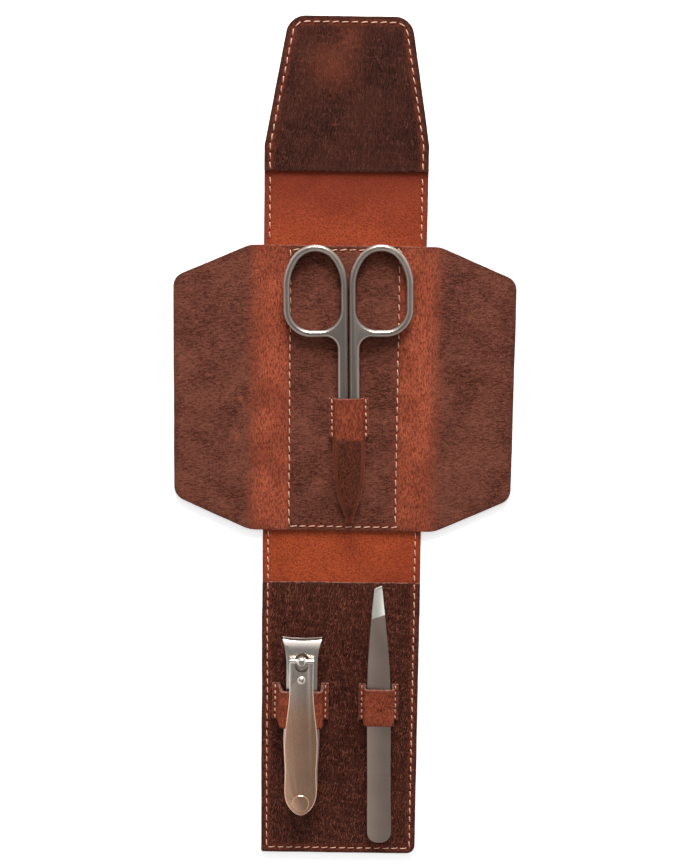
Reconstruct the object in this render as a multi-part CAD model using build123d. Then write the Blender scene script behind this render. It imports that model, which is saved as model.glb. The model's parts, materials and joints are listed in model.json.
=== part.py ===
from build123d import *

import math
import os

# A leather manicure set case, open and flat, with nail scissors, a nail clipper
# and slanted tweezers in place. Millimetres. X runs across the case, +Y towards
# its flap and +Z up from the surface it lies on. The origin is in the middle of
# the case's length and width, on that surface.

# ---- Driving dimensions: leather ----
outer_leather = 1.3
lining_leather = 1.0
strap_leather = 0.9
strip_width = 52.3
flap_length = 48.5
top_spine_length = 23.5
centre_length = 92.9
bottom_spine_length = 17.4
panel_length = 94.3
top_fold_inset = 1.7
flap_shoulder = 7.7
flap_end_width = 39.8
flap_corner_radius = 6.0
panel_corner_radius = 2.8

# ---- Driving dimensions: cross-piece with two wings ----
centre_width = 48.0
wing_span = 110.5
wing_neck_width = 61.0
wing_top_slope = 10.4
wing_bottom_slope = 11.0
wing_corner_radius = 4.8
wing_neck_radius = 10.0

# ---- Driving dimensions: stitching ----
stitch_pitch = 3.0
strap_stitch_pitch = 2.15
stitch_gap = 0.8
stitch_width = 0.5
stitch_height = 0.2
edge_stitch_inset = 1.85
centre_stitch_width = 35.0
centre_stitch_inset = 1.4

# ---- Driving dimensions: clearances ----
tool_clearance = 0.1
strap_clearance = 0.2
running_clearance = 0.05
head_clearance = 0.12
magnet_clearance = 0.1

# ---- Driving dimensions: magnets ----
magnet_diameter = 10.0
magnet_thickness = 0.8
flap_magnet_inset = 11.3

# ---- Driving dimensions: scissors ----
scissors_x = 1.85
scissors_lean = 1.0
scissors_thickness = 3.0
blade_length = 28.7
shank_length = 30.4
shank_width = 3.25
shank_gap = 0.4
ring_opening_width = 16.3
ring_opening_length = 25.1
ring_wall = 2.15
ring_top_length = 11.0
ring_side_radius = 14.0
ring_corner_radius = 6.8
ring_fillet = 4.0
ring_chamfer = 0.7
joint_radius = 3.45
joint_clearance = 0.2
blade_root_half_width = 2.5
blade_middle_half_width = 2.15
blade_middle = 17.0
blade_edge_half_width = 1.3
blade_tip_thickness = 0.55
blade_tip_half_width = 0.25
stop_length = 2.0
stop_below_mouth = 3.6
screw_head_diameter = 4.2
screw_head_depth = 0.7
screw_shank_diameter = 2.4
screw_slot_width = 0.7
screw_slot_depth = 0.35

# ---- Driving dimensions: sheath ----
sheath_length = 41.4
sheath_tip_inset = 2.7
sheath_band_length = 13.1
sheath_taper = [(0.0, 27.7), (0.95, 14.2), (2.65, 6.9)]
sheath_tip_width = 0.6
sheath_tip_wall = 2.9
sheath_tip_drop = 1.2
sheath_ease = 0.45
sheath_foot = 1.3
sheath_shoulder = 1.0
blade_tip_inset = 4.2

# ---- Driving dimensions: clipper ----
clipper_x = -12.6
clipper_front_inset = 18.3
clipper_length = 59.2
jaw_width = 13.0
jaw_sides = [(5.45, -4.0), (5.05, -13.0), (5.2, -21.0), (5.95, -35.0), (5.5, -47.2), (4.2, -56.0)]
jaw_edge_depth = 0.5
jaw_thickness = 1.4
jaw_rise = 2.45
jaw_gap = 1.2
jaw_edge_height = 2.3
lip_thickness = 0.3
lower_lip_reach = 0.4
lower_jaw_under = [(-3.6, 0.55), (-8.0, 0.0)]
lower_jaw_over = [(-3.2, 0.5), (-7.4, 0.0)]
upper_jaw_under = [(-3.4, -0.45), (-8.0, 0.0)]
upper_jaw_over = [(-1.3, -0.75), (-3.8, -0.2), (-8.0, 0.0)]
pin_inset = 6.5
rivet_inset = 4.0
pin_diameter = 2.8
pin_hole_diameter = 4.4
pin_foot_diameter = 4.2
foot_thickness = 0.6
pin_head_height = 1.0
pin_chamfer = 0.45
rivet_diameter = 2.6
rivet_head_diameter = 4.6
rivet_head_height = 0.7
rivet_chamfer = 0.4
bar_diameter = 1.45
lever_clearance = 0.2
lever_thickness = 0.9
lever_front_width = 8.0
lever_sides = [(3.95, -12.0), (4.05, -19.0), (5.5, -35.0), (5.2, -46.2), (4.0, -56.4)]
lever_chamfer = 0.3
lever_overhang = 0.2
lever_keyhole_length = 3.9
lever_inlay = 0.2
bump_inset = 12.8
bump_diameter = 2.9
bump_height = 0.9
dimple_inset = 4.1
dimple_diameter = 5.7
dimple_height = 0.3
dimple_chamfer = 0.2

# ---- Driving dimensions: tweezers ----
tweezers_x = 13.0
tweezers_lean = 1.1
tweezers_front_inset = 0.6
tweezers_length = 88.7
tweezers_width = 8.06
tweezers_tip_width = 2.5
tweezers_slant = 1.1
tweezers_sides = [(2.15, -9.5), (3.45, -25.0), (3.95, -48.0)]
tweezers_straight = 9.0
tweezers_bend = 9.5
facet_slant = 20.0
facet_slope = 6.6
arm_thickness = 1.1
arm_tip_thickness = 0.7
arm_joint_length = 8.7
arm_rise = 3.5
arm_tip_drop = 0.7
lower_arm_tip_rise = 0.4
arm_end_radius = 3.6

# ---- Driving dimensions: loops ----
loop_length = 12.5
loop_panel_inset = 34.4
clipper_loop_slopes = (1.5, 0.25)
tweezers_loop_slopes = (0.0, 0.0)
loop_foot = 1.5
strap_stitch_offset = 0.45
strap_bend_radius = 0.6

# ---- Heights and places worked out from the sizes above ----
lining_top = outer_leather + lining_leather
tool_base = lining_top + stitch_height + tool_clearance
total_length = flap_length + top_spine_length + centre_length + bottom_spine_length + panel_length
panel_end_y = -total_length / 2
panel_top_y = panel_end_y + panel_length
centre_bottom_y = panel_top_y + bottom_spine_length
centre_top_y = centre_bottom_y + centre_length
flap_base_y = centre_top_y + top_spine_length
flap_end_y = flap_base_y + flap_length
top_fold_y = centre_top_y + top_fold_inset
flap_fold_y = flap_base_y - top_fold_inset
flap_magnet_y = flap_end_y - flap_magnet_inset
panel_magnet_y = panel_top_y - (top_fold_y - centre_bottom_y - (flap_magnet_y - flap_fold_y))

sheath_tip_y = centre_bottom_y + sheath_tip_inset
sheath_mouth_y = sheath_tip_y + sheath_length
sheath_taper_y = sheath_tip_y + sheath_taper[0][1]
blade_tip_y = sheath_tip_y + blade_tip_inset
pivot_y = blade_tip_y + blade_length
ring_bottom_y = pivot_y + shank_length
ring_top_y = ring_bottom_y + ring_opening_length
half_gap = shank_gap / 2
scissors_top = tool_base + scissors_thickness
joint_plane = tool_base + scissors_thickness / 2
sheath_inside_half_width = half_gap + shank_width + sheath_ease + strap_clearance
sheath_half_width = sheath_inside_half_width + strap_leather
sheath_inside_top = scissors_top + strap_clearance
sheath_top = sheath_inside_top + strap_leather

clipper_front_y = panel_top_y - clipper_front_inset
clipper_tail = -clipper_length
upper_jaw_bottom = tool_base + jaw_thickness
upper_jaw_top = upper_jaw_bottom + jaw_rise + jaw_thickness
loop_top_y = panel_top_y - loop_panel_inset
loop_bottom_y = loop_top_y - loop_length
clipper_loop_inside = upper_jaw_top + strap_clearance
clipper_loop_top = clipper_loop_inside + strap_leather
lever_bottom = clipper_loop_top + lever_clearance
lever_top = lever_bottom + lever_thickness
bar_height = (lever_bottom + lever_top) / 2
pin_top = bar_height + bar_diameter / 2 + pin_head_height

tweezers_front_y = panel_top_y - tweezers_front_inset
upper_arm_bottom = tool_base + arm_thickness
tweezers_bend_height = upper_arm_bottom + arm_rise + arm_thickness
arm_joint_y = -tweezers_length + arm_joint_length
arm_slope = arm_rise / (tweezers_length - arm_joint_length - tweezers_bend)


def block(x_range, y_range, z_range):
    """A box between two values on each axis."""
    sizes = [high - low for low, high in (x_range, y_range, z_range)]
    centre = [(low + high) / 2 for low, high in (x_range, y_range, z_range)]
    return Pos(*centre) * Box(*sizes)


def sheet(outline, bottom, thickness):
    """A flat piece with the given outline."""
    return extrude(Pos(0, 0, bottom) * outline, thickness, dir=(0, 0, 1))


def across(profile, half_width):
    """A side profile in Y and Z, drawn out evenly to both sides along X."""
    return extrude(profile, half_width, both=True, dir=(1, 0, 0))


def side_face(points):
    """A closed side profile of (Y, Z) points with straight edges."""
    return make_face(Polyline(*[(0, y, z) for y, z in points], close=True))


def post(x, y, bottom, height, diameter):
    """An upright cylinder."""
    return Pos(x, y, bottom + height / 2) * Cylinder(diameter / 2, height)


def leaning(x, y, lean):
    """A place turned in plan by a lean, with Y still measured along the case at that place."""
    return Pos(x, y, 0) * Rot(0, 0, lean) * Pos(0, -y, 0)


def centred_strip(low_y, high_y, width=strip_width):
    """The outline of a straight stretch of leather."""
    return Pos(0, (low_y + high_y) / 2) * Rectangle(width, high_y - low_y)


# ---- Leather ----


def flap_outline(low_y):
    """The flap: straight at its base, then tapered to a round-cornered end."""
    half, end_half = strip_width / 2, flap_end_width / 2
    shoulder_y = flap_base_y + flap_shoulder
    corners = [
        (-half, low_y),
        (-half, shoulder_y),
        (-end_half, flap_end_y),
        (end_half, flap_end_y),
        (half, shoulder_y),
        (half, low_y),
    ]
    face = make_face(Polyline(*corners, close=True))
    return fillet(face.vertices().sort_by(Axis.Y)[-2:], flap_corner_radius)


def panel_outline(high_y):
    """The tool panel: square at the lower left corner, round at the lower right."""
    face = centred_strip(panel_end_y, high_y)
    lower = face.vertices().sort_by(Axis.Y)[:2].sort_by(Axis.X)[-1]
    return fillet(lower, panel_corner_radius)


def wing_outline():
    """The right wing, from its fold line out to the rounded outer edge."""
    fold_x, neck_x, edge_x = centre_width / 2, wing_neck_width / 2, wing_span / 2
    corners = [
        (fold_x, centre_bottom_y),
        (neck_x, centre_bottom_y),
        (edge_x, centre_bottom_y + wing_bottom_slope),
        (edge_x, centre_top_y - wing_top_slope),
        (neck_x, centre_top_y),
        (fold_x, centre_top_y),
    ]
    face = make_face(Polyline(*corners, close=True))
    face = fillet(face.vertices().sort_by(Axis.X)[-2:], wing_corner_radius)
    necks = [v for v in face.vertices() if abs(v.X - neck_x) < 0.01]
    return fillet(necks, wing_neck_radius)


def magnet_pocket(y):
    """The recess for a magnet in the inner face of the outer leather."""
    depth = magnet_thickness + magnet_clearance
    bottom = outer_leather - depth
    return post(0, y, bottom, depth, magnet_diameter + 2 * magnet_clearance)


def make_outer_flap():
    leather = sheet(flap_outline(flap_fold_y), 0, outer_leather)
    return leather - magnet_pocket(flap_magnet_y)


def make_outer_tool_panel():
    leather = sheet(panel_outline(panel_top_y), 0, outer_leather)
    return leather - magnet_pocket(panel_magnet_y)


def make_magnet(y):
    return post(0, y, outer_leather - magnet_thickness, magnet_thickness, magnet_diameter)


def make_right_wing():
    return sheet(wing_outline(), outer_leather, lining_leather)


# ---- Stitching ----


def stitches_along(path, surface, pitch=stitch_pitch):
    """Short raised stitches, evenly spaced along a path on a leather surface."""
    count = max(2, round(path.length / pitch))
    stitch_length = path.length / count - stitch_gap
    stitches = []
    for index in range(count):
        place = (index + 0.5) / count
        middle = path.position_at(place)
        heading = path.tangent_at(place)
        turn = math.degrees(math.atan2(heading.Y, heading.X))
        stitch = Box(stitch_length, stitch_width, stitch_height)
        stitches.append(Pos(middle.X, middle.Y, surface + stitch_height / 2) * Rot(0, 0, turn) * stitch)
    return stitches


def side_rows(low_y, high_y, surface, places, pitch=stitch_pitch):
    """A row of stitches along a stretch at each of the given X places."""
    rows = []
    for x in places:
        rows += stitches_along(Line((x, low_y), (x, high_y)), surface, pitch)
    return Compound(rows)


edge_stitch_half_width = strip_width / 2 - edge_stitch_inset
edge_rows = (-edge_stitch_half_width, edge_stitch_half_width)


def make_flap_stitching():
    """One row round the flap, inset from its edge."""
    half = edge_stitch_half_width
    end_half = flap_end_width / 2 - edge_stitch_inset
    shoulder_y = flap_base_y + flap_shoulder
    end_y = flap_end_y - edge_stitch_inset
    corners = [
        (-half, flap_base_y),
        (-half, shoulder_y),
        (-end_half, end_y),
        (end_half, end_y),
        (half, shoulder_y),
        (half, flap_base_y),
    ]
    edge_lines = [stitches_along(Line(a, b), lining_top) for a, b in straight_runs(corners)]
    return Compound([stitch for line in edge_lines for stitch in line])


def straight_runs(corners):
    """Pairs of corners, each run stopped short of a round corner at the flap's end."""
    trim = flap_corner_radius / 2
    runs = []
    for start, end in zip(corners, corners[1:]):
        line = Line(start, end)
        first = trim / line.length if start[1] > flap_end_y - 2 * edge_stitch_inset else 0
        last = trim / line.length if end[1] > flap_end_y - 2 * edge_stitch_inset else 0
        runs.append((line.position_at(first), line.position_at(1 - last)))
    return runs


def make_panel_stitching():
    """Both long edges and the bottom edge of the tool panel."""
    half = edge_stitch_half_width
    row_y = panel_end_y + edge_stitch_inset
    sides = side_rows(row_y + stitch_gap, panel_top_y, lining_top, edge_rows)
    bottom = stitches_along(Line((-half + stitch_gap, row_y), (half - stitch_gap, row_y)), lining_top)
    return Compound(sides.solids() + bottom)


def make_centre_stitching():
    """The rectangle that holds the cross-piece to the back."""
    half = centre_stitch_width / 2
    low_y = centre_bottom_y + centre_stitch_inset
    high_y = centre_top_y - centre_stitch_inset
    sides = side_rows(low_y + stitch_gap, high_y - stitch_gap, lining_top, (-half, half))
    ends = []
    for y in (low_y, high_y):
        ends += stitches_along(Line((-half + stitch_gap, y), (half - stitch_gap, y)), lining_top)
    return Compound(sides.solids() + ends)


# ---- Sheath and loops ----


scissors_place = leaning(scissors_x, pivot_y, scissors_lean)


def sheath_plan(inset, tip_y, mouth_y):
    """The sheath from above, its walls moved in by an inset: straight sides, then a long point."""
    half, tip_half = sheath_half_width - inset, sheath_tip_width / 2
    side = [(half - inward, sheath_tip_y + above) for inward, above in sheath_taper]
    left_side = [(-x, y) for x, y in reversed(side)]
    lines = [
        Line((half, mouth_y), side[0]),
        Spline(*side, (tip_half, tip_y)),
        Line((tip_half, tip_y), (-tip_half, tip_y)),
        Spline((-tip_half, tip_y), *left_side),
        Line(left_side[-1], (-half, mouth_y)),
        Line((-half, mouth_y), (half, mouth_y)),
    ]
    return make_face(lines)


def sheath_side(top, mouth_y):
    """The sheath from the side: level, then falling to the blade tips."""
    fall_y = sheath_tip_y + blade_tip_inset
    fall = (scissors_thickness - 2 * blade_tip_thickness) / 2
    points = [
        (mouth_y, lining_top),
        (mouth_y, top),
        (sheath_taper_y, top),
        (fall_y, top - fall),
        (sheath_tip_y, top - fall - sheath_tip_drop),
        (sheath_tip_y, lining_top),
    ]
    return side_face(points)


def make_scissors_sheath():
    """A band with two stitched feet that runs into a closed pouch for the blades."""
    half, mouth_y = sheath_half_width, sheath_mouth_y
    outside = sheet(sheath_plan(0, sheath_tip_y, mouth_y), lining_top, sheath_top - lining_top)
    outside = outside & across(sheath_side(sheath_top, mouth_y), half)
    long_edges = outside.edges().filter_by(Axis.Y).group_by(Axis.Z)[-1]
    outside = chamfer(long_edges, sheath_shoulder)
    inside_plan = sheath_plan(strap_leather, sheath_tip_y + sheath_tip_wall, mouth_y + 1)
    room = sheet(inside_plan, lining_top, sheath_inside_top - lining_top)
    room = room & across(sheath_side(sheath_inside_top, mouth_y + 1), half)
    foot_half = half + sheath_foot
    foot = block(
        (-foot_half, foot_half),
        (mouth_y - sheath_band_length, mouth_y),
        (lining_top, lining_top + strap_leather),
    )
    return scissors_place * (outside + foot - room)


def make_sheath_stitching():
    low_y = sheath_mouth_y - sheath_band_length
    half = sheath_half_width + strap_stitch_offset
    surface = lining_top + strap_leather
    return scissors_place * side_rows(low_y, sheath_mouth_y, surface, (-half, half), strap_stitch_pitch)


def strap_loop(middle_x, inside_half, inside_top, slopes):
    """A strap with two flat feet that bridges a tool. Each side leans out by its own slope."""
    foot_top = lining_top + strap_leather
    outer, inner = [], []
    for side, slope in zip((-1, 1), slopes):
        base = inside_half + slope
        over = [
            (base + strap_leather + loop_foot, lining_top),
            (base + strap_leather + loop_foot, foot_top),
            (base + strap_leather, foot_top),
            (inside_half + strap_leather, inside_top + strap_leather),
        ]
        under = [(base, lining_top), (inside_half, inside_top)]
        outer.append([(middle_x + side * x, loop_bottom_y, z) for x, z in over])
        inner.append([(middle_x + side * x, loop_bottom_y, z) for x, z in under])
    points = outer[0] + outer[1][::-1] + inner[1] + inner[0][::-1]
    loop = extrude(make_face(Polyline(*points, close=True)), loop_length, dir=(0, 1, 0))
    bends = [edge for edge in loop.edges().filter_by(Axis.Y) if edge.center().Z > inside_top]
    return fillet(bends, strap_bend_radius)


clipper_loop_half = max(half for half, y in jaw_sides) + strap_clearance
tweezers_loop_half = tweezers_width / 2 + strap_clearance
arm_run_in_loop = loop_top_y - tweezers_front_y - arm_joint_y
tweezers_loop_inside = upper_arm_bottom + arm_thickness + arm_slope * arm_run_in_loop + strap_clearance


def make_clipper_loop():
    return strap_loop(clipper_x, clipper_loop_half, clipper_loop_inside, clipper_loop_slopes)


def make_tweezers_loop():
    return strap_loop(tweezers_x, tweezers_loop_half, tweezers_loop_inside, tweezers_loop_slopes)


def loop_stitching(middle_x, inside_half, slopes):
    rows = [middle_x + side * (inside_half + slope + strap_leather + strap_stitch_offset)
            for side, slope in zip((-1, 1), slopes)]
    surface = lining_top + strap_leather
    return side_rows(loop_bottom_y, loop_top_y, surface, rows, strap_stitch_pitch)


# ---- Scissors, drawn about their centre line and moved to their place at the end ----


def ring_opening():
    """The finger opening: a high arched top on a base with wide round corners."""
    half, reach, corner = ring_opening_width / 2, ring_side_radius, ring_corner_radius
    shoulder_y = ring_top_y - ring_top_length
    base_y = ring_bottom_y + corner
    top_radius = (2 * reach * half - half**2 - ring_top_length**2) / (2 * (reach - ring_top_length))
    top_y = ring_top_y - top_radius
    lean = math.degrees(math.atan2(top_y - shoulder_y, reach - half))
    edges = [
        CenterArc((half - reach, shoulder_y), reach, 0, lean),
        CenterArc((0, top_y), top_radius, lean, 180 - 2 * lean),
        CenterArc((reach - half, shoulder_y), reach, 180 - lean, lean),
        Line((-half, shoulder_y), (-half, base_y)),
        CenterArc((corner - half, base_y), corner, 180, 90),
        Line((corner - half, ring_bottom_y), (half - corner, ring_bottom_y)),
        CenterArc((half - corner, base_y), corner, 270, 90),
        Line((half, base_y), (half, shoulder_y)),
    ]
    return make_face(edges)


ring_middle_x = half_gap + ring_wall + ring_opening_width / 2
shank_outside = half_gap + shank_width


def ring_gusset():
    """The hollow curve that leads the ring into the outside of the shank."""
    corner_x = -ring_middle_x + ring_opening_width / 2 - ring_corner_radius
    corner_y = ring_bottom_y + ring_corner_radius
    corner_radius = ring_corner_radius + ring_wall
    curve_x = -shank_outside - ring_fillet
    rise = math.sqrt((corner_radius + ring_fillet) ** 2 - (corner_x - curve_x) ** 2)
    curve_y = corner_y - rise
    points = [(-shank_outside, curve_y), (-shank_outside, corner_y), (corner_x, corner_y), (curve_x, curve_y)]
    return make_face(Polyline(*points, close=True)) - Pos(curve_x, curve_y) * Circle(ring_fillet)


def handle():
    """The left ring and its shank, at full thickness, down to the joint."""
    opening = Pos(-ring_middle_x, 0) * ring_opening()
    ring = offset(opening, ring_wall)
    shank_top_y = ring_bottom_y + ring_corner_radius
    shank = block_face((-shank_outside, -half_gap), (pivot_y, shank_top_y))
    outline = ring + shank + ring_gusset() - opening
    body = sheet(outline, tool_base, scissors_thickness)
    body = chamfer([edge for edge in body.edges() if on_rim(edge)], ring_chamfer)
    cut = post(0, pivot_y, tool_base - 1, scissors_thickness + 2, 2 * (joint_radius + joint_clearance))
    return body - cut


def block_face(x_range, y_range):
    """A rectangle between two values on each axis."""
    (x0, x1), (y0, y1) = x_range, y_range
    return Pos((x0 + x1) / 2, (y0 + y1) / 2) * Rectangle(x1 - x0, y1 - y0)


def on_rim(edge):
    """True for the level edges of the ring and of the curve that leads into the shank."""
    middle = edge.position_at(0.5)
    level = abs(edge.position_at(0).Z - edge.position_at(1).Z) < 1e-6
    above_shank = middle.Y > ring_bottom_y - ring_wall - ring_fillet
    return level and above_shank and middle.X < -half_gap - 0.05


def blade():
    """The blade and joint disc of the left half: it crosses to the right side."""
    bottom, top = tool_base, joint_plane - tool_clearance / 2
    disc = post(0, pivot_y, bottom, top - bottom, 2 * joint_radius)
    tip_y = blade_tip_y
    back = Spline((blade_root_half_width, pivot_y - joint_radius),
                  (blade_middle_half_width, pivot_y - blade_middle), (blade_tip_half_width, tip_y))
    edge = Line((-blade_tip_half_width, tip_y), (-blade_edge_half_width, pivot_y - joint_radius))
    root = Line((-blade_edge_half_width, pivot_y - joint_radius), (-blade_edge_half_width, pivot_y))
    close = Line((-blade_edge_half_width, pivot_y), (blade_root_half_width, pivot_y))
    side = Line((blade_root_half_width, pivot_y), (blade_root_half_width, pivot_y - joint_radius))
    end = Line((blade_tip_half_width, tip_y), (-blade_tip_half_width, tip_y))
    plan = make_face([back, end, edge, root, close, side])
    body = sheet(plan, bottom, top - bottom)
    taper = side_face([(pivot_y + 1, bottom), (pivot_y - joint_radius, bottom),
                       (tip_y - 1, top - blade_tip_thickness), (tip_y - 1, top), (pivot_y + 1, top)])
    return (body & across(taper, 2 * joint_radius)) + disc


def lap():
    """The half-thickness neck that joins the shank to the joint disc."""
    bottom, top = tool_base, joint_plane - tool_clearance / 2
    neck_top_y = pivot_y + joint_radius + 2 * joint_clearance
    neck = block((-shank_outside, -half_gap), (pivot_y, neck_top_y), (bottom, top))
    round_end = post(0, pivot_y, bottom, top - bottom, 2 * math.hypot(shank_outside, neck_top_y - pivot_y))
    return neck & round_end


def scissors_half():
    """The left half, in the lower layer at the joint."""
    return handle() + lap() + blade()


def make_scissors():
    """Both halves and the screw that holds them together."""
    left = scissors_half()
    turned = left.rotate(Axis((0, 0, joint_plane), (0, 1, 0)), 180)
    right = turned - post(0, pivot_y, tool_base, scissors_thickness, screw_shank_diameter + 2 * running_clearance)
    head_room = screw_head_depth + head_clearance
    right -= post(0, pivot_y, scissors_top - head_room, head_room, screw_head_diameter + 4 * running_clearance)
    left -= post(0, pivot_y, tool_base, scissors_thickness, screw_shank_diameter)
    stop_y = sheath_mouth_y - stop_below_mouth
    left += block((-shank_gap, half_gap / 2), (stop_y, stop_y + stop_length), (tool_base, scissors_top))
    screw = post(0, pivot_y, tool_base, scissors_thickness - screw_head_depth, screw_shank_diameter)
    screw += post(0, pivot_y, scissors_top - screw_head_depth, screw_head_depth, screw_head_diameter)
    screw -= block((-screw_head_diameter, screw_head_diameter),
                   (pivot_y - screw_slot_width / 2, pivot_y + screw_slot_width / 2),
                   (scissors_top - screw_slot_depth, scissors_top + 1))
    return scissors_place * left, scissors_place * right, scissors_place * screw


# ---- Clipper, drawn with its front edge at Y 0 and moved to its place at the end ----

pin_y = -pin_inset
rivet_y = clipper_tail + rivet_inset
jaw_bend_y = rivet_y + rivet_head_diameter / 2 + tool_clearance
clipper_place = Pos(clipper_x, clipper_front_y, 0)


def round_ended(points, tail_y):
    """One smooth line down the right side, round the tail and up the left side."""
    return Spline(*points, (0, tail_y), *[(-x, y) for x, y in reversed(points)])


def clipper_outline(front_y=0):
    """The jaws from above: wide concave edge, narrow waist, full belly, round tail."""
    half = jaw_width / 2
    edge = ThreePointArc((half, front_y), (0, front_y - jaw_edge_depth), (-half, front_y))
    return make_face([round_ended([(half, front_y), *jaw_sides], clipper_tail), edge])


def jaw_shape(profile, front_y=0):
    """A jaw: its outline from above, cut to its side profile."""
    body = sheet(clipper_outline(front_y), tool_base - 1, pin_top - tool_base + 2)
    return body & across(profile, jaw_width)


def jaw_profile(under, over, level, back, lip_y, lip_bottom):
    """A jaw from the side: smooth curves from the lip to a level, then straight runs to the tail.

    under and over hold the curves of the two faces, as Y and the height over the level of each face.
    """
    lower = [(0, lip_y, lip_bottom), *[(0, y, level + height) for y, height in under]]
    upper = [(0, lip_y, lip_bottom + lip_thickness)]
    upper += [(0, y, level + jaw_thickness + height) for y, height in over]
    under_run = [lower[-1], *[(0, y, z) for y, z in back]]
    over_run = [upper[-1], *[(0, y, z + jaw_thickness) for y, z in back]]
    edges = [Spline(*lower), Spline(*upper), Line(lower[0], upper[0]), Line(under_run[-1], over_run[-1])]
    for run in (under_run, over_run):
        edges += [Line(start, end) for start, end in zip(run, run[1:])]
    return make_face(edges)


def make_lower_jaw():
    """The lower jaw: flat, and turned up to the cutting edge."""
    lip_bottom = tool_base + jaw_edge_height - lip_thickness
    back = [(clipper_tail - 1, tool_base)]
    profile = jaw_profile(lower_jaw_under, lower_jaw_over, tool_base, back, lower_lip_reach, lip_bottom)
    jaw = jaw_shape(profile, lower_lip_reach)
    for y, diameter in ((pin_y, pin_diameter), (rivet_y, rivet_diameter)):
        jaw -= post(0, y, tool_base - 1, jaw_thickness + 2, diameter + 2 * running_clearance)
        recess = foot_thickness + head_clearance
        jaw -= post(0, y, tool_base, recess, foot_diameter(diameter) + 6 * running_clearance)
    return clipper_place * jaw


def foot_diameter(shank_diameter):
    """The foot of the pin or the rivet, as much wider than its shank in both."""
    return shank_diameter + pin_foot_diameter - pin_diameter


def make_upper_jaw():
    """The upper jaw: it lies on the lower one at the tail and springs up to the front."""
    bottom = upper_jaw_bottom
    lip_bottom = tool_base + jaw_edge_height + jaw_gap
    back = [(jaw_bend_y, bottom), (clipper_tail - 1, bottom)]
    profile = jaw_profile(upper_jaw_under, upper_jaw_over, bottom + jaw_rise, back, 0, lip_bottom)
    jaw = jaw_shape(profile)
    jaw -= post(0, pin_y, bottom, 4 * jaw_thickness + jaw_rise, pin_hole_diameter)
    jaw -= post(0, rivet_y, bottom - 1, 2 + jaw_thickness, rivet_diameter)
    return clipper_place * jaw


def make_tail_rivet():
    """The rivet that holds the jaws together: foot, shank and low domed head."""
    head_bottom = upper_jaw_bottom + jaw_thickness
    rivet = post(0, rivet_y, tool_base, foot_thickness, foot_diameter(rivet_diameter))
    rivet += post(0, rivet_y, tool_base, head_bottom - tool_base, rivet_diameter)
    head = post(0, rivet_y, head_bottom, rivet_head_height, rivet_head_diameter)
    head = chamfer(head.edges().group_by(Axis.Z)[-1], rivet_chamfer)
    return clipper_place * (rivet + head)


def make_clipper_pin():
    """The pin: a foot in the lower jaw and, at its head, a notch for the lever's bar."""
    pin = post(0, pin_y, tool_base, foot_thickness, pin_foot_diameter)
    shank = post(0, pin_y, tool_base, pin_top - tool_base, pin_diameter)
    shank = chamfer(shank.edges().group_by(Axis.Z)[-1], pin_chamfer)
    pin += shank
    notch = bar_diameter + 2 * running_clearance
    pin -= Pos(0, pin_y, bar_height) * Rot(0, 90, 0) * Cylinder(notch / 2, 2 * pin_diameter)
    pin -= block((-pin_diameter, pin_diameter), (pin_y, pin_y + pin_diameter),
                 (bar_height - notch / 2, bar_height + notch / 2))
    return clipper_place * pin


def lever_outline():
    """The lever from above: narrow fork at the pin, full belly and a round end."""
    half = lever_front_width / 2
    side = round_ended([(half, pin_y), *lever_sides], clipper_tail - lever_overhang)
    return make_face([side, Line((-half, pin_y), (half, pin_y))])


def make_clipper_lever():
    """The lever: a bar in the pin's notch, a forked plate, a cam bump and a thumb dimple."""
    lever = sheet(lever_outline(), lever_bottom, lever_thickness)
    lever = chamfer(lever.edges().group_by(Axis.Z)[-1].sort_by(Axis.Y)[:-1], lever_chamfer)
    slot_width = pin_hole_diameter
    round_y = pin_y - lever_keyhole_length + slot_width / 2
    lever -= post(0, round_y, lever_bottom - 1, lever_thickness + 2, slot_width)
    lever -= block((-slot_width / 2, slot_width / 2), (round_y, pin_y + 1), (lever_bottom - 1, lever_top + 1))
    lever += Pos(0, pin_y, bar_height) * Rot(0, 90, 0) * Cylinder(bar_diameter / 2, lever_front_width)
    bump_radius = ((bump_diameter / 2) ** 2 + bump_height**2) / (2 * bump_height)
    bump = Pos(0, -bump_inset, lever_top + bump_height - bump_radius) * Sphere(bump_radius)
    inlay_bottom = lever_bottom + lever_inlay
    lever += bump & block((-bump_diameter, bump_diameter),
                          (-bump_inset - bump_diameter, -bump_inset + bump_diameter), (inlay_bottom, pin_top))
    dimple = post(0, clipper_tail + dimple_inset, inlay_bottom, lever_top + dimple_height - inlay_bottom,
                  dimple_diameter)
    dimple = chamfer(dimple.edges().group_by(Axis.Z)[-1], dimple_chamfer)
    return clipper_place * (lever + dimple)


# ---- Tweezers, drawn with their tip at Y 0 and moved to their place at the end ----

loop_middle_y = (loop_top_y + loop_bottom_y) / 2
tweezers_place = leaning(tweezers_x, loop_middle_y, tweezers_lean) * Pos(0, tweezers_front_y, 0)


def tweezers_outline():
    """The arms from above: a slanted tip, long tapered sides and a round end."""
    tip, full = tweezers_tip_width / 2, tweezers_width / 2
    end = -tweezers_length
    straight_y = end + tweezers_straight
    right = Spline((tip, 0), *tweezers_sides, (full, straight_y))
    left = Spline((-tip, -tweezers_slant), *[(-x, y) for x, y in tweezers_sides], (-full, straight_y))
    corners = [(full, straight_y), (full, end), (-full, end), (-full, straight_y)]
    round_end = FilletPolyline(*corners, radius=arm_end_radius)
    return make_face([right, left, *round_end.edges(), Line((tip, 0), (-tip, -tweezers_slant))])


def arm(profile_points):
    """One arm: the outline from above, cut to a side profile."""
    body = sheet(tweezers_outline(), tool_base - 1, tweezers_bend_height - tool_base + 2)
    return body & across(side_face(profile_points), tweezers_width)


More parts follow.
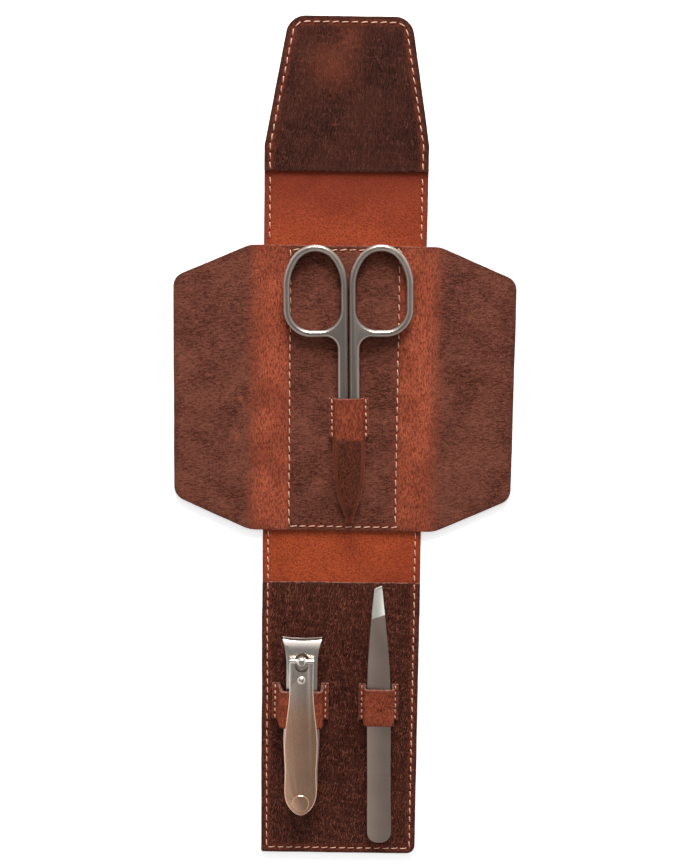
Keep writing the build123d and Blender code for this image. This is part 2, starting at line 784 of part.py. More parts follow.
def make_lower_arm():
    base = tool_base
    lower_arm = arm([
        (1, base + lower_arm_tip_rise),
        (-tweezers_bend, base),
        (-tweezers_length - 1, base),
        (-tweezers_length - 1, base + arm_thickness),
        (-tweezers_bend, base + arm_thickness),
        (1, base + lower_arm_tip_rise + arm_tip_thickness),
    ])
    return tweezers_place * lower_arm


def make_upper_arm():
    """The sprung arm, with a slanted ground facet on its tip."""
    bottom = upper_arm_bottom
    bend = bottom + arm_rise
    upper_arm = arm([
        (1, bend - arm_tip_drop),
        (-tweezers_bend, bend),
        (arm_joint_y, bottom),
        (-tweezers_length - 1, bottom),
        (-tweezers_length - 1, bottom + arm_thickness),
        (arm_joint_y, bottom + arm_thickness),
        (1, bend + arm_thickness + arm_slope * (tweezers_bend + 1)),
    ])
    ground = block((-tweezers_width, tweezers_width), (0, 2 * tweezers_bend), (0, 2 * arm_thickness))
    facet_place = Pos(0, -tweezers_bend, tweezers_bend_height) * Rot(0, 0, facet_slant) * Rot(-facet_slope, 0, 0)
    return tweezers_place * (upper_arm - facet_place * ground)


# ---- The whole set ----


def build():
    left_half, right_half, screw = make_scissors()
    right_wing = make_right_wing()
    return {
        "outer_flap": make_outer_flap(),
        "outer_top_spine": sheet(centred_strip(top_fold_y, flap_fold_y), 0, outer_leather),
        "outer_back": sheet(centred_strip(centre_bottom_y, top_fold_y), 0, outer_leather),
        "outer_bottom_spine": sheet(centred_strip(panel_top_y, centre_bottom_y), 0, outer_leather),
        "outer_tool_panel": make_outer_tool_panel(),
        "flap_lining": sheet(flap_outline(flap_base_y), outer_leather, lining_leather),
        "centre_lining": sheet(centred_strip(centre_bottom_y, centre_top_y, centre_width), outer_leather,
                               lining_leather),
        "left_wing": mirror(right_wing, Plane.YZ),
        "right_wing": right_wing,
        "tool_panel_lining": sheet(panel_outline(panel_top_y), outer_leather, lining_leather),
        "flap_magnet": make_magnet(flap_magnet_y),
        "panel_magnet": make_magnet(panel_magnet_y),
        "scissors_sheath": make_scissors_sheath(),
        "clipper_loop": make_clipper_loop(),
        "tweezers_loop": make_tweezers_loop(),
        "flap_stitching": make_flap_stitching(),
        "top_spine_stitching": side_rows(top_fold_y, flap_fold_y, outer_leather, edge_rows),
        "centre_stitching": make_centre_stitching(),
        "bottom_spine_stitching": side_rows(panel_top_y, centre_bottom_y, outer_leather, edge_rows),
        "tool_panel_stitching": make_panel_stitching(),
        "sheath_stitching": make_sheath_stitching(),
        "clipper_loop_stitching": loop_stitching(clipper_x, clipper_loop_half, clipper_loop_slopes),
        "tweezers_loop_stitching": loop_stitching(tweezers_x, tweezers_loop_half, tweezers_loop_slopes),
        "scissors_left_half": left_half,
        "scissors_right_half": right_half,
        "scissors_screw": screw,
        "clipper_lower_jaw": make_lower_jaw(),
        "clipper_upper_jaw": make_upper_jaw(),
        "clipper_tail_rivet": make_tail_rivet(),
        "clipper_pin": make_clipper_pin(),
        "clipper_lever": make_clipper_lever(),
        "tweezers_lower_arm": make_lower_arm(),
        "tweezers_upper_arm": make_upper_arm(),
    }


os.makedirs("parts", exist_ok=True)
for node, shape in build().items():
    export_step(shape, f"parts/{node}.step")
print("sheath top", sheath_top, "lever", lever_bottom, lever_top, "pin top", pin_top)
print("tweezers top", tweezers_bend_height, "magnets", flap_magnet_y, panel_magnet_y)
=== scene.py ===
"""A leather manicure set case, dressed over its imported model.

Run as a script. It loads the fixed frame, makes the leather, the stitching and the finish of the
tools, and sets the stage. Blender's lengths are metres. Leather and
thread are worked out in millimetres and turned into metres as each mesh is made.
"""

import json
import math

import bpy
import numpy as np
from bpy.props import FloatProperty, FloatVectorProperty, PointerProperty
from bpy.types import Operator, Panel, PropertyGroup
from mathutils import Matrix, Vector, noise


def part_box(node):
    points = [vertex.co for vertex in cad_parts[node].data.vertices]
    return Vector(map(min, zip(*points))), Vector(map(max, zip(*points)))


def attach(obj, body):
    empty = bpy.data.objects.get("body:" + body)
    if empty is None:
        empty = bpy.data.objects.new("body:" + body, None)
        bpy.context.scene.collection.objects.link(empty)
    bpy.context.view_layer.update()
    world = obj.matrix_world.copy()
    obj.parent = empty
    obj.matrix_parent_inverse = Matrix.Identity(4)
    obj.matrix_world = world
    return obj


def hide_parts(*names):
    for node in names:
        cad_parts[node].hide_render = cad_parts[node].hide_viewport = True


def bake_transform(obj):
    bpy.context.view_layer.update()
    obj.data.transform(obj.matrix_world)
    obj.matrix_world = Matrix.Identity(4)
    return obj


bl_info = {
    "name": "Manicure Set Case",
    "version": (1, 0, 0),
    "blender": (4, 5, 0),
    "location": "3D View > Sidebar > Case",
    "description": "Leather, stitching and steel for a manicure set case, over its fixed frame",
    "category": "Object",
}

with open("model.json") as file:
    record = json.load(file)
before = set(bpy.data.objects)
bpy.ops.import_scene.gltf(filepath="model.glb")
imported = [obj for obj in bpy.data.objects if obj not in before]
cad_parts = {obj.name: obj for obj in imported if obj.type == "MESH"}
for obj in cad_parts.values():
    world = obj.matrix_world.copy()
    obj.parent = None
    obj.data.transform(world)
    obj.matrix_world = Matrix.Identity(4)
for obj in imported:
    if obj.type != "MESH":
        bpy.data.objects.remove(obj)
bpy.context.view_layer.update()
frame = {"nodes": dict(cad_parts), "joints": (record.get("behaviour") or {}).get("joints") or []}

MM = 0.001
X, Y, Z = 0, 1, 2
FOLDS = {joint["name"]: Vector(joint["pos_m"]) / MM for joint in frame["joints"] if "pos_m" in joint}
SLIDES = {
    joint["name"]: Vector(joint["axis"]) for joint in frame["joints"] if joint["name"].endswith("slide")
}


def span(node, axis):
    """The lowest and highest value of a CAD node along an axis, in millimetres."""
    low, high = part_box(node)
    return low[axis] / MM, high[axis] / MM


# ---- Places read from the frame, in millimetres ----
STRIP_HALF = span("outer_back", X)[1]
FLAP_END = span("outer_flap", Y)[1]
FLAP_FOLD = FOLDS["flap_fold"].y
FLAP_BASE = span("flap_lining", Y)[0]
TOP_FOLD = FOLDS["top_spine_fold"].y
CENTRE_LOW, CENTRE_HIGH = span("centre_lining", Y)
CENTRE_HALF = span("centre_lining", X)[1]
WING_EDGE = span("right_wing", X)[1]
PANEL_LOW, PANEL_HIGH = span("tool_panel_lining", Y)
OUTER_TOP = span("outer_back", Z)[1]
LINING_TOP = span("centre_lining", Z)[1]
SEAM_HALF = (span("top_spine_stitching", X)[1] * 2 - 0.5) / 2
FLAP_MAGNET = [sum(span("flap_magnet", axis)) / 2 for axis in (X, Y)]
PANEL_MAGNET = [sum(span("panel_magnet", axis)) / 2 for axis in (X, Y)]

# ---- Sizes that the frame's boxes don't hold, in millimetres ----
FLAP_SHOULDER = 7.7
FLAP_END_LEFT = 18.5
FLAP_END_RIGHT = 19.9
FLAP_END_DROP = 0.9
FLAP_CORNER = 6.0
PANEL_CORNER = 2.8
WING_NECK = 30.5
WING_TOP_SLOPE = 10.4
WING_BOTTOM_SLOPE = 11.0
WING_CORNER = 4.8
WING_NECK_CORNER = 10.0
SEAM_INSET = 1.85
STRAP_LEATHER = 0.9
STRAP_BEND = 0.4
STRAP_FOOT = 1.5
SHEATH_FOOT = 1.3
SHEATH_HALF = 5.0
SHEATH_STITCH = 0.45
SHEATH_MOUTH = 8.5
SHEATH_BAND = 13.1
SHEATH_TIP = -32.9
SHEATH_TAPER = (
    (-5.2, 5.1), (-11.8, 5.05), (-15.9, 4.9), (-19.9, 4.4), (-24.0, 3.5), (-28.0, 2.2), (-30.5, 1.3),
    (SHEATH_TIP, 0.35),
)
TAN_BAND_INNER = (17.6, 18.9)
TAN_BAND_OUTER = (34.5, 27.5)
STITCH_PITCH = 3.0
STRAP_PITCH = 2.15
FLAP_BEND = 3.0
WING_BEND = 5.0


# ---- Settings that a user may change ----


def colour(name, description, value):
    """A colour setting, in linear values."""
    return FloatVectorProperty(name=name, description=description, subtype="COLOR", size=4, min=0, max=1,
                               default=(*value, 1))


def length(name, description, value):
    """A length setting, given in millimetres and kept in metres."""
    return FloatProperty(name=name, description=description, default=value * MM, min=0, unit="LENGTH",
                         precision=5)


def share(name, description, value, top=1.0):
    """A plain number setting from nought."""
    return FloatProperty(name=name, description=description, default=value, min=0, max=top)


class CaseLeather(PropertyGroup):
    """Colours and sizes of the leather."""

    flap_dark: colour("Flap Brown", "Ground colour of the flap's lining", (0.01, 0.002, 0.0012))
    flap_light: colour("Flap Grain", "Fine light grain of the flap's lining", (0.15, 0.046, 0.029))
    wing_dark: colour("Wing Brown", "Ground colour of the cross-piece", (0.032, 0.0065, 0.0035))
    wing_light: colour("Wing Grain", "Light grain of the cross-piece", (0.29, 0.092, 0.057))
    panel_dark: colour("Panel Brown", "Ground colour of the tool panel", (0.012, 0.0018, 0.0009))
    panel_light: colour("Panel Grain", "Light creases of the tool panel", (0.33, 0.1, 0.062))
    tan: colour("Pull-up Tan", "Where the bent leather turns light", (0.48, 0.108, 0.052))
    tan_dark: colour("Pull-up Crease", "Creases in the light bands", (0.12, 0.022, 0.012))
    inner: colour("Inner Orange", "The outer leather's inner face", (0.43, 0.073, 0.021))
    # This dark colour gives the specks, and it is also the painted shade towards the flap lining's edge.
    inner_speck_and_shade: colour("Inner Speckle", "Specks of the outer leather's inner face", (0.13, 0.015, 0.006))
    sheath_dark: colour("Sheath Brown", "Ground colour of the sheath's pouch", (0.028, 0.006, 0.003))
    sheath_light: colour("Sheath Grain", "Light grain of the sheath's pouch", (0.17, 0.046, 0.024))
    strap: colour("Strap Red-brown", "Loops and the band of the sheath", (0.33, 0.07, 0.033))
    strap_dark: colour("Strap Grain", "Grain of the loops and the sheath", (0.045, 0.008, 0.004))
    worn: colour("Worn Red", "Leather rubbed red along the seams", (0.24, 0.045, 0.022))
    cut_edge: colour("Cut Edge", "Raw edge of the leather", (0.05, 0.02, 0.015))
    cut_light: colour("Edge Line", "Rubbed line along an edge", (0.3, 0.13, 0.09))
    cell: length("Mesh Cell", "Usual spacing of the leather's mesh", 0.7)
    rounding: length("Edge Rounding", "Rounding of a cut edge", 0.28)
    relief: length("Relief", "Height of the soft unevenness in the leather", 0.12)
    grain_height: length("Grain Height", "Depth of the grain in the leather's shading", 0.16)
    groove: length("Seam Groove", "How far a seam pulls the leather in", 0.14)


class CaseThread(PropertyGroup):
    """Colour and size of the thread."""

    thread: colour("Thread", "Waxed thread", (0.68, 0.4, 0.28))
    # Stains of the thread and the fibre in the needle holes, and also the painted shade in the grooves
    # between the plies.
    stain_and_twist_shade: colour("Thread Shade", "Thread in its creases", (0.2, 0.055, 0.03))
    # Each needle hole is a dark disc on the leather: the painted shade of the hole.
    hole: colour("Needle Hole", "Dark hole at each end of a stitch", (0.03, 0.007, 0.004))
    hole_width: length("Hole Width", "Width of a needle hole", 0.34)
    width: length("Thread Width", "Width of the waxed thread", 0.34)
    rise: length("Stitch Rise", "Height of a stitch above the leather", 0.21)
    gap: share("Gap", "Share of the pitch that is bare between two stitches", 0.22)
    slant: FloatProperty(name="Slant", description="Turn of each stitch from the line of its seam",
                         default=math.radians(6), subtype="ANGLE")


class CaseSteel(PropertyGroup):
    """Finish of the steel tools."""

    scissors: colour("Scissors Steel", "Satin steel of the scissors", (0.38, 0.325, 0.285))
    jaws: colour("Clipper Steel", "Satin steel of the clipper's jaws and pin", (0.66, 0.59, 0.53))
    # The lever's brown is a painted reflection of something brown; near the pin it fades to the jaws' grey.
    lever: colour("Lever Steel", "Warm satin steel of the clipper's lever", (0.66, 0.395, 0.265))
    tweezers: colour("Tweezers Steel", "Matt warm steel of the tweezers", (0.37, 0.285, 0.24))
    # The tip's ground facet is real; its much brighter colour is a painted highlight.
    ground_tip_highlight: colour("Ground Tip", "Bright ground face at the tweezers' tip", (0.8, 0.79, 0.72))
    plating: colour("Magnet Plating", "Nickel plating of the magnets", (0.62, 0.6, 0.57))
    roughness: share("Roughness", "Roughness of the satin finish", 0.3)
    brush_height: length("Brush Depth", "Depth of the brush lines in shading", 0.002)
    edge: length("Edge Rounding", "Rounding of the steel's edges", 0.16)
    ring_edge: length("Ring Rounding", "Rounding of the scissors' rings and shanks", 0.42)


class CaseStage(PropertyGroup):
    """Floor, lamps and camera."""

    floor: colour("Floor", "Pale floor", (0.9, 0.9, 0.9))
    key_power: share("Key Power", "Power of the large lamp beyond the flap, in watts", 18.5, 500)
    fill_power: share("Fill Power", "Power of the lamp on the near side, in watts", 1.0, 500)
    sky: share("Sky", "Strength of the even light from above", 0.22, 10)
    window: share("Window", "Strength of the broad light high beyond the flap", 1.0, 10)
    horizon: share("Horizon", "Strength of the light from the sides", 1.1, 10)
    focal_length: FloatProperty(name="Lens", description="Focal length for a 36 mm long side, in millimetres",
                                default=50.77, min=1)


# ---- Mesh helpers: plans in millimetres ----


def rounded(corners, radii, closed=True, steps=10):
    """A line through corners with an arc of the given radius at each."""
    points = []
    count = len(corners)
    for index, (corner, radius) in enumerate(zip(corners, radii)):
        here = Vector(corner)
        at_end = not closed and index in (0, count - 1)
        if radius <= 0 or at_end:
            points.append(here)
            continue
        back = (Vector(corners[index - 1]) - here).normalized()
        on = (Vector(corners[(index + 1) % count]) - here).normalized()
        half_angle = back.angle(on) / 2
        reach = radius / math.tan(half_angle)
        centre = here + (back + on).normalized() * radius / math.sin(half_angle)
        first, last = here + back * reach - centre, here + on * reach - centre
        for step in range(steps + 1):
            points.append(centre + first.slerp(last, step / steps).normalized() * radius)
    return points


def evenly(points, count):
    """The same line as count points, evenly spaced along it."""
    line = np.array([tuple(p) for p in points])
    run = np.concatenate([[0], np.cumsum(np.linalg.norm(np.diff(line, axis=0), axis=1))])
    places = np.linspace(0, run[-1], count)
    return np.stack([np.interp(places, run, line[:, axis]) for axis in range(line.shape[1])], 1)


FINE_STEPS = (0, 0.07, 0.16, 0.3, 0.5, 0.8)


def grid_lines(low, high, cell, fine_at=()):
    """Positions from low to high: evenly spaced, and closer together beside each fine place."""
    fine = {low, high}
    for place in fine_at:
        fine |= {place + side * step for step in FINE_STEPS for side in (-1, 1)}
    fine = sorted(p for p in fine if low <= p <= high)
    fine = [p for i, p in enumerate(fine) if i == 0 or p - fine[i - 1] > 0.03]
    fine[-1] = high
    count = max(1, round((high - low) / cell))
    even = [low + (high - low) * i / count for i in range(1, count)]
    even = [p for p in even if min(abs(p - f) for f in fine) > 0.4 * cell]
    return sorted(fine + even)


def width_at(outline, level, axis):
    """Where a line at a level of one axis enters and leaves an outline, on the other axis."""
    other = 1 - axis
    found = []
    for a, b in zip(outline, outline[1:] + outline[:1]):
        if (a[axis] - level) * (b[axis] - level) <= 0 and a[axis] != b[axis]:
            part = (level - a[axis]) / (b[axis] - a[axis])
            found.append(a[other] + part * (b[other] - a[other]))
    return min(found), max(found)


def edge_distance(points, outline, seams):
    """Distance from each point to the outline's cut edges. Edges that lie on a seam don't count."""
    best = np.full(len(points), 1e3)
    for a, b in zip(outline, outline[1:] + outline[:1]):
        if any(abs(a[axis] - place) < 1e-4 and abs(b[axis] - place) < 1e-4 for axis, place in seams):
            continue
        start, run = np.array(a), np.array(b) - np.array(a)
        if not run.any():
            continue
        part = np.clip((points - start) @ run / (run @ run), 0, 1)
        best = np.minimum(best, np.linalg.norm(points - start - part[:, None] * run, axis=1))
    return best


def uneven(points, size, seed):
    """Smooth noise between -1 and 1 at each point, with features of about the given size."""
    return np.array([noise.noise(Vector((x / size, y / size, seed))) for x, y in points])


def hand_cut(points):
    """The small drift of hand-cut edges: how far each point of the plan moves."""
    drift_x = 0.14 * uneven(points, 17, 3.1) + 0.05 * uneven(points, 4, 5.7)
    drift_y = 0.14 * uneven(points, 17, 8.3) + 0.05 * uneven(points, 4, 9.2)
    return np.stack([drift_x, drift_y], 1)


def bell(distance, width):
    """A smooth bump of height one."""
    return np.exp(-((distance / width) ** 2))


def lookup(path, points):
    """Distance from each point to an open line."""
    best = np.full(len(points), 1e3)
    for a, b in zip(path, path[1:]):
        start, run = np.array(a), np.array(b) - np.array(a)
        if not run.any():
            continue
        part = np.clip((points - start) @ run / (run @ run), 0, 1)
        best = np.minimum(best, np.linalg.norm(points - start - part[:, None] * run, axis=1))
    return best


def new_piece(name, vertices, faces, materials, face_materials=None, edge=None, place=None):
    """A mesh object from millimetres, with its rest place and edge distance kept for the materials."""
    mesh = bpy.data.meshes.new(name)
    mesh.from_pydata((np.asarray(vertices) * MM).tolist(), [], faces)
    for material in materials:
        mesh.materials.append(material)
    if face_materials is not None:
        mesh.polygons.foreach_set("material_index", face_materials)
    rest = mesh.attributes.new("place", "FLOAT_VECTOR", "POINT")
    rest.data.foreach_set("vector", np.asarray(vertices if place is None else place, np.float32).ravel())
    if edge is not None:
        kept = mesh.attributes.new("edge", "FLOAT", "POINT")
        kept.data.foreach_set("value", np.asarray(edge, np.float32))
    mesh.polygons.foreach_set("use_smooth", [True] * len(mesh.polygons))
    mesh.set_sharp_from_angle(angle=math.radians(50))
    mesh.validate()
    mesh.update()
    piece = bpy.data.objects.new(name, mesh)
    bpy.context.scene.collection.objects.link(piece)
    return piece


def leather_sheet(name, outline, along, heights, materials, seams=(), fine_at=(), fine_across=(), lift=None,
                  grooves=(), under_grooves=(), bumps=()):
    """A flat piece of leather with rounded cut edges, soft relief and grooves under its seams.

    outline is a closed line. The grid runs along one axis, and each of its rows reaches from one side
    of the outline to the other. seams are (axis, place) of sides that meet another piece.
    """
    settings = bpy.context.scene.case_leather
    bottom, top = heights
    outline = [tuple(p) for p in outline]
    levels = [p[along] for p in outline]
    low, high = min(levels), max(levels)
    seam_places = [place for axis, place in seams if axis == along]
    ends = [p for p in (low, high) if all(abs(p - s) > 1e-4 for s in seam_places)]
    rows = grid_lines(low, high, settings.cell / MM, [*ends, *fine_at])
    side_seams = [place for axis, place in seams if axis != along]
    reach = [p[1 - along] for p in outline]
    narrow, wide = min(reach), max(reach)
    sides = [p for p in (narrow, wide) if all(abs(p - s) > 1e-4 for s in side_seams)]
    columns = np.array(grid_lines(narrow, wide, settings.cell / MM, [*sides, *fine_across]))
    margin = 3.5
    grid = []
    for level in rows:
        inside = min(max(level, low + 1e-6), high - 1e-6)
        first, last = width_at(outline, inside, along)
        middle = (columns - narrow - margin) / (wide - narrow - 2 * margin)
        place = first + margin + middle * (last - first - 2 * margin)
        place = np.where(columns < narrow + margin, first + columns - narrow, place)
        place = np.where(columns > wide - margin, last + columns - wide, place)
        pair = [place, np.full(len(columns), level)]
        grid.append(np.stack(pair if along == Y else pair[::-1], 1))
    plan = np.concatenate(grid)
    distance = edge_distance(plan, outline, seams)
    radius = settings.rounding / MM
    inward = np.clip(radius - distance, 0, radius)
    fall = radius - np.sqrt(np.maximum(radius**2 - inward**2, 0))
    relief = settings.relief / MM * (uneven(plan, 9, 1.7) + 0.6 * uneven(plan, 3.4, 4.4))
    relief += 0.25 * settings.relief / MM * uneven(plan, 1.1, 6.1)
    relief *= np.clip(distance / 1.5, 0.15, 1)
    over = np.full(len(plan), top) - fall + relief
    under = np.full(len(plan), bottom) + 0.6 * fall
    depth = settings.groove / MM
    for path in grooves:
        over -= depth * bell(lookup(path, plan), 0.45)
    for path in under_grooves:
        under += 2 * depth * bell(lookup(path, plan), 0.42)
    for (x, y), size, height in bumps:
        over += height * bell(np.linalg.norm(plan - np.array([x, y]), axis=1), size)
    bend = np.zeros(len(plan)) if lift is None else lift(plan)
    moved = plan + hand_cut(plan)
    upper = np.column_stack([moved, over + bend])
    lower = np.column_stack([moved, under + bend])
    count, width = len(plan), len(columns)
    height = len(rows)
    faces, kinds = [], []
    for row in range(height - 1):
        for column in range(width - 1):
            a = row * width + column
            faces.append((a, a + 1, a + width + 1, a + width))
            kinds.append(0)
            faces.append((count + a, count + a + width, count + a + width + 1, count + a + 1))
            kinds.append(2)
    rim = [c for c in range(width)] + [r * width + width - 1 for r in range(1, height)]
    rim += [(height - 1) * width + c for c in range(width - 2, -1, -1)]
    rim += [r * width for r in range(height - 2, 0, -1)]
    for a, b in zip(rim, rim[1:] + rim[:1]):
        faces.append((a, count + a, count + b, b))
        kinds.append(1)
    if along == X:
        faces = [face[::-1] for face in faces]
    vertices = np.concatenate([upper, lower])
    place = np.concatenate([np.column_stack([plan, np.full(count, top)]),
                            np.column_stack([plan, np.full(count, bottom)])])
    sheet = new_piece(name, vertices, faces, materials, kinds, np.concatenate([distance, distance]), place)
    rubbed = np.zeros(count)
    for path in grooves:
        rubbed = np.maximum(rubbed, bell(lookup(path, plan), 1.0))
    kept = sheet.data.attributes.new("seam", "FLOAT", "POINT")
    kept.data.foreach_set("value", np.concatenate([rubbed, np.zeros(count)]).astype(np.float32))
    return sheet


# ---- Plans of the leather, in millimetres ----


def rectangle(left, right, low, high):
    return [(left, low), (right, low), (right, high), (left, high)]


def flap_plan(base):
    end = FLAP_END - FLAP_END_DROP
    corners = [(-STRIP_HALF, base), (STRIP_HALF, base), (STRIP_HALF, FLAP_BASE + FLAP_SHOULDER),
               (FLAP_END_RIGHT, end), (-FLAP_END_LEFT, end), (-STRIP_HALF, FLAP_BASE + FLAP_SHOULDER)]
    return rounded(corners, [0, 0, 2, FLAP_CORNER, FLAP_CORNER, 2])


def panel_plan(top):
    corners = rectangle(-STRIP_HALF, STRIP_HALF, PANEL_LOW, top)
    return rounded(corners, [0.8, PANEL_CORNER, 0, 0])


def wing_plan(side):
    corners = [
        (CENTRE_HALF, CENTRE_LOW), (WING_NECK, CENTRE_LOW), (WING_EDGE, CENTRE_LOW + WING_BOTTOM_SLOPE),
        (WING_EDGE, CENTRE_HIGH - WING_TOP_SLOPE), (WING_NECK, CENTRE_HIGH), (CENTRE_HALF, CENTRE_HIGH),
    ]
    points = rounded(corners, [0, WING_NECK_CORNER, WING_CORNER, WING_CORNER, WING_NECK_CORNER, 0])
    return points if side > 0 else [Vector((-p.x, p.y)) for p in reversed(points)]


def flap_seam():
    """The row round the flap, inset from its edge."""
    shoulder, end = FLAP_BASE + FLAP_SHOULDER, FLAP_END - FLAP_END_DROP - SEAM_INSET
    left, right = SEAM_INSET - FLAP_END_LEFT, FLAP_END_RIGHT - SEAM_INSET
    corners = [(-SEAM_HALF, FLAP_BASE), (-SEAM_HALF, shoulder), (left, end), (right, end),
               (SEAM_HALF, shoulder), (SEAM_HALF, FLAP_BASE)]
    corner = FLAP_CORNER - SEAM_INSET
    return rounded(corners, [0, 2, corner, corner, 2, 0], closed=False)


def panel_seam():
    """Down one long side of the tool panel, along its end and up the other side."""
    end = PANEL_LOW + SEAM_INSET
    corners = [(-SEAM_HALF, PANEL_HIGH), (-SEAM_HALF, end), (SEAM_HALF, end), (SEAM_HALF, PANEL_HIGH)]
    return rounded(corners, [0, 0.6, 1.2, 0], closed=False)


def centre_seam():
    """The rectangle that holds the cross-piece to the back."""
    half = span("centre_stitching", X)[1] - 0.25
    low, high = span("centre_stitching", Y)
    return rectangle(-half, half, low + 0.25, high - 0.25) + [(-half, low + 0.25)]


def side_seams(low, high, half=SEAM_HALF, middle=0.0):
    """A row along each side of a stretch."""
    return [[(middle + side * half, low), (middle + side * half, high)] for side in (-1, 1)]


# ---- Shader helpers ----


def add_node(tree, kind, inputs=None, **settings):
    """A node with its settings, its inputs set to values or joined to other sockets."""
    made = tree.nodes.new(kind)
    for name, value in settings.items():
        setattr(made, name, value)
    for name, value in (inputs or {}).items():
        if isinstance(value, bpy.types.NodeSocket):
            tree.links.new(value, made.inputs[name])
        else:
            made.inputs[name].default_value = value
    return made


def maths(tree, operation, *values):
    """The result of a sum on up to three values."""
    return add_node(tree, "ShaderNodeMath", dict(enumerate(values)), operation=operation).outputs[0]


def mixed(tree, factor, first, second, blend="MIX"):
    """Two colours mixed by a factor."""
    made = add_node(tree, "ShaderNodeMix", {0: factor, 6: first, 7: second}, data_type="RGBA",
                    blend_type=blend)
    return made.outputs[2]


def between(tree, value, low, high, out_low=0.0, out_high=1.0):
    """A value turned smoothly from one range into another."""
    inputs = {"Value": value, "From Min": low, "From Max": high, "To Min": out_low, "To Max": out_high}
    return add_node(tree, "ShaderNodeMapRange", inputs, interpolation_type="SMOOTHSTEP").outputs[0]


def noise_at(tree, vector, scale, detail=2.0, roughness=0.5, distortion=0.0):
    inputs = {"Vector": vector, "Scale": scale, "Detail": detail, "Roughness": roughness,
              "Distortion": distortion}
    return add_node(tree, "ShaderNodeTexNoise", inputs).outputs["Fac"]


def new_group(name, inputs, outputs):
    """An empty shader group with named sockets, and its input and output nodes."""
    tree = bpy.data.node_groups.new(name, "ShaderNodeTree")
    for socket, kind, value in inputs:
        made = tree.interface.new_socket(socket, in_out="INPUT", socket_type=f"NodeSocket{kind}")
        if value is not None:
            made.default_value = value
    for socket, kind in outputs:
        tree.interface.new_socket(socket, in_out="OUTPUT", socket_type=f"NodeSocket{kind}")
    return tree, tree.nodes.new("NodeGroupInput"), tree.nodes.new("NodeGroupOutput")


def grain_group():
    """Leather grain: long light creases, fine grain, pores and broad clouding."""
    if "leather_grain" in bpy.data.node_groups:
        return bpy.data.node_groups["leather_grain"]
    tree, given, result = new_group(
        "leather_grain",
        [("Place", "Vector", None), ("Turn", "Float", 0.0), ("Crease Width", "Float", 1.0),
         ("Crease Length", "Float", 3.0), ("Crease Cover", "Float", 0.5), ("Pore Size", "Float", 0.7)],
        [("Creases", "Float"), ("Fine", "Float"), ("Pores", "Float"), ("Clouds", "Float"),
         ("Height", "Float")],
    )
    place = given.outputs["Place"]
    turned = add_node(tree, "ShaderNodeVectorRotate", {"Vector": place, "Angle": given.outputs["Turn"]},
                      rotation_type="Z_AXIS").outputs[0]
    wander = add_node(tree, "ShaderNodeTexNoise", {"Vector": turned, "Scale": 0.3, "Detail": 2.0})
    shift = add_node(tree, "ShaderNodeVectorMath", {0: wander.outputs["Color"], 1: (0.5, 0.5, 0.5)},
                     operation="SUBTRACT").outputs[0]
    warped = add_node(tree, "ShaderNodeVectorMath", {0: shift, 1: (1.0, 1.4, 0.0), 2: turned},
                      operation="MULTIPLY_ADD").outputs[0]
    size = add_node(tree, "ShaderNodeCombineXYZ",
                    {"X": given.outputs["Crease Width"], "Y": given.outputs["Crease Length"],
                     "Z": 1.0}).outputs[0]
    stretched = add_node(tree, "ShaderNodeVectorMath", {0: warped, 1: size}, operation="DIVIDE").outputs[0]
    ridge = crease_lines(tree, stretched, 0.9, given.outputs["Crease Cover"])
    offset = add_node(tree, "ShaderNodeVectorMath", {0: stretched, 1: (37.0, 11.0, 5.0)},
                      operation="ADD").outputs[0]
    second = crease_lines(tree, offset, 1.3, given.outputs["Crease Cover"])
    patchy = between(tree, noise_at(tree, place, 0.3, detail=3.0), 0.32, 0.62, 0.5, 1.0)
    creases = maths(tree, "MAXIMUM", ridge, maths(tree, "MULTIPLY", second, 0.75))
    creases = maths(tree, "MULTIPLY", creases, patchy)
    fine = between(tree, noise_at(tree, stretched, 1.1, detail=3.0, roughness=0.65), 0.36, 0.64)
    pore_scale = maths(tree, "DIVIDE", 1.0, given.outputs["Pore Size"])
    cells = add_node(tree, "ShaderNodeTexVoronoi", {"Vector": warped, "Scale": pore_scale, "Randomness": 1.0},
                     feature="DISTANCE_TO_EDGE").outputs["Distance"]
    pores = between(tree, cells, 0.13, 0.0)
    clouds = noise_at(tree, place, 0.075, detail=5.0, roughness=0.55, distortion=0.6)
    height = maths(tree, "MULTIPLY_ADD", pores, -0.5, maths(tree, "MULTIPLY", creases, 0.4))
    height = maths(tree, "MULTIPLY_ADD", fine, 0.3, height)
    made = {"Creases": creases, "Fine": fine, "Pores": pores, "Clouds": clouds, "Height": height}
    for name, value in made.items():
        tree.links.new(value, result.inputs[name])
    return tree


def crease_lines(tree, vector, scale, cover):
    """Thin wandering lines where a noise field crosses its middle."""
    field = noise_at(tree, vector, scale, detail=0.6, roughness=0.5)
    ridge = maths(tree, "ABSOLUTE", maths(tree, "MULTIPLY_ADD", field, 2.0, -1.0))
    return between(tree, ridge, maths(tree, "MULTIPLY", cover, 0.3), 0.0)


def wear_group():
    """Wear along a cut edge: a darker border and, at the very edge, a broken light line."""
    if "edge_wear" in bpy.data.node_groups:
        return bpy.data.node_groups["edge_wear"]
    tree, given, result = new_group(
        "edge_wear",
        [("Edge", "Float", 1.0), ("Place", "Vector", None), ("Border", "Float", 2.2),
         ("Line", "Float", 0.22)],
        [("Border", "Float"), ("Line", "Float")],
    )
    ragged = noise_at(tree, given.outputs["Place"], 0.5, detail=3.0)
    loose = maths(tree, "MULTIPLY_ADD", ragged, 1.2, 0.4)
    border = between(tree, maths(tree, "DIVIDE", given.outputs["Edge"], loose), given.outputs["Border"], 0.0)
    line = between(tree, given.outputs["Edge"], given.outputs["Line"], 0.0)
    broken = between(tree, noise_at(tree, given.outputs["Place"], 0.9, detail=2.0), 0.38, 0.6)
    tree.links.new(border, result.inputs["Border"])
    tree.links.new(maths(tree, "MULTIPLY", line, broken), result.inputs["Line"])
    return tree


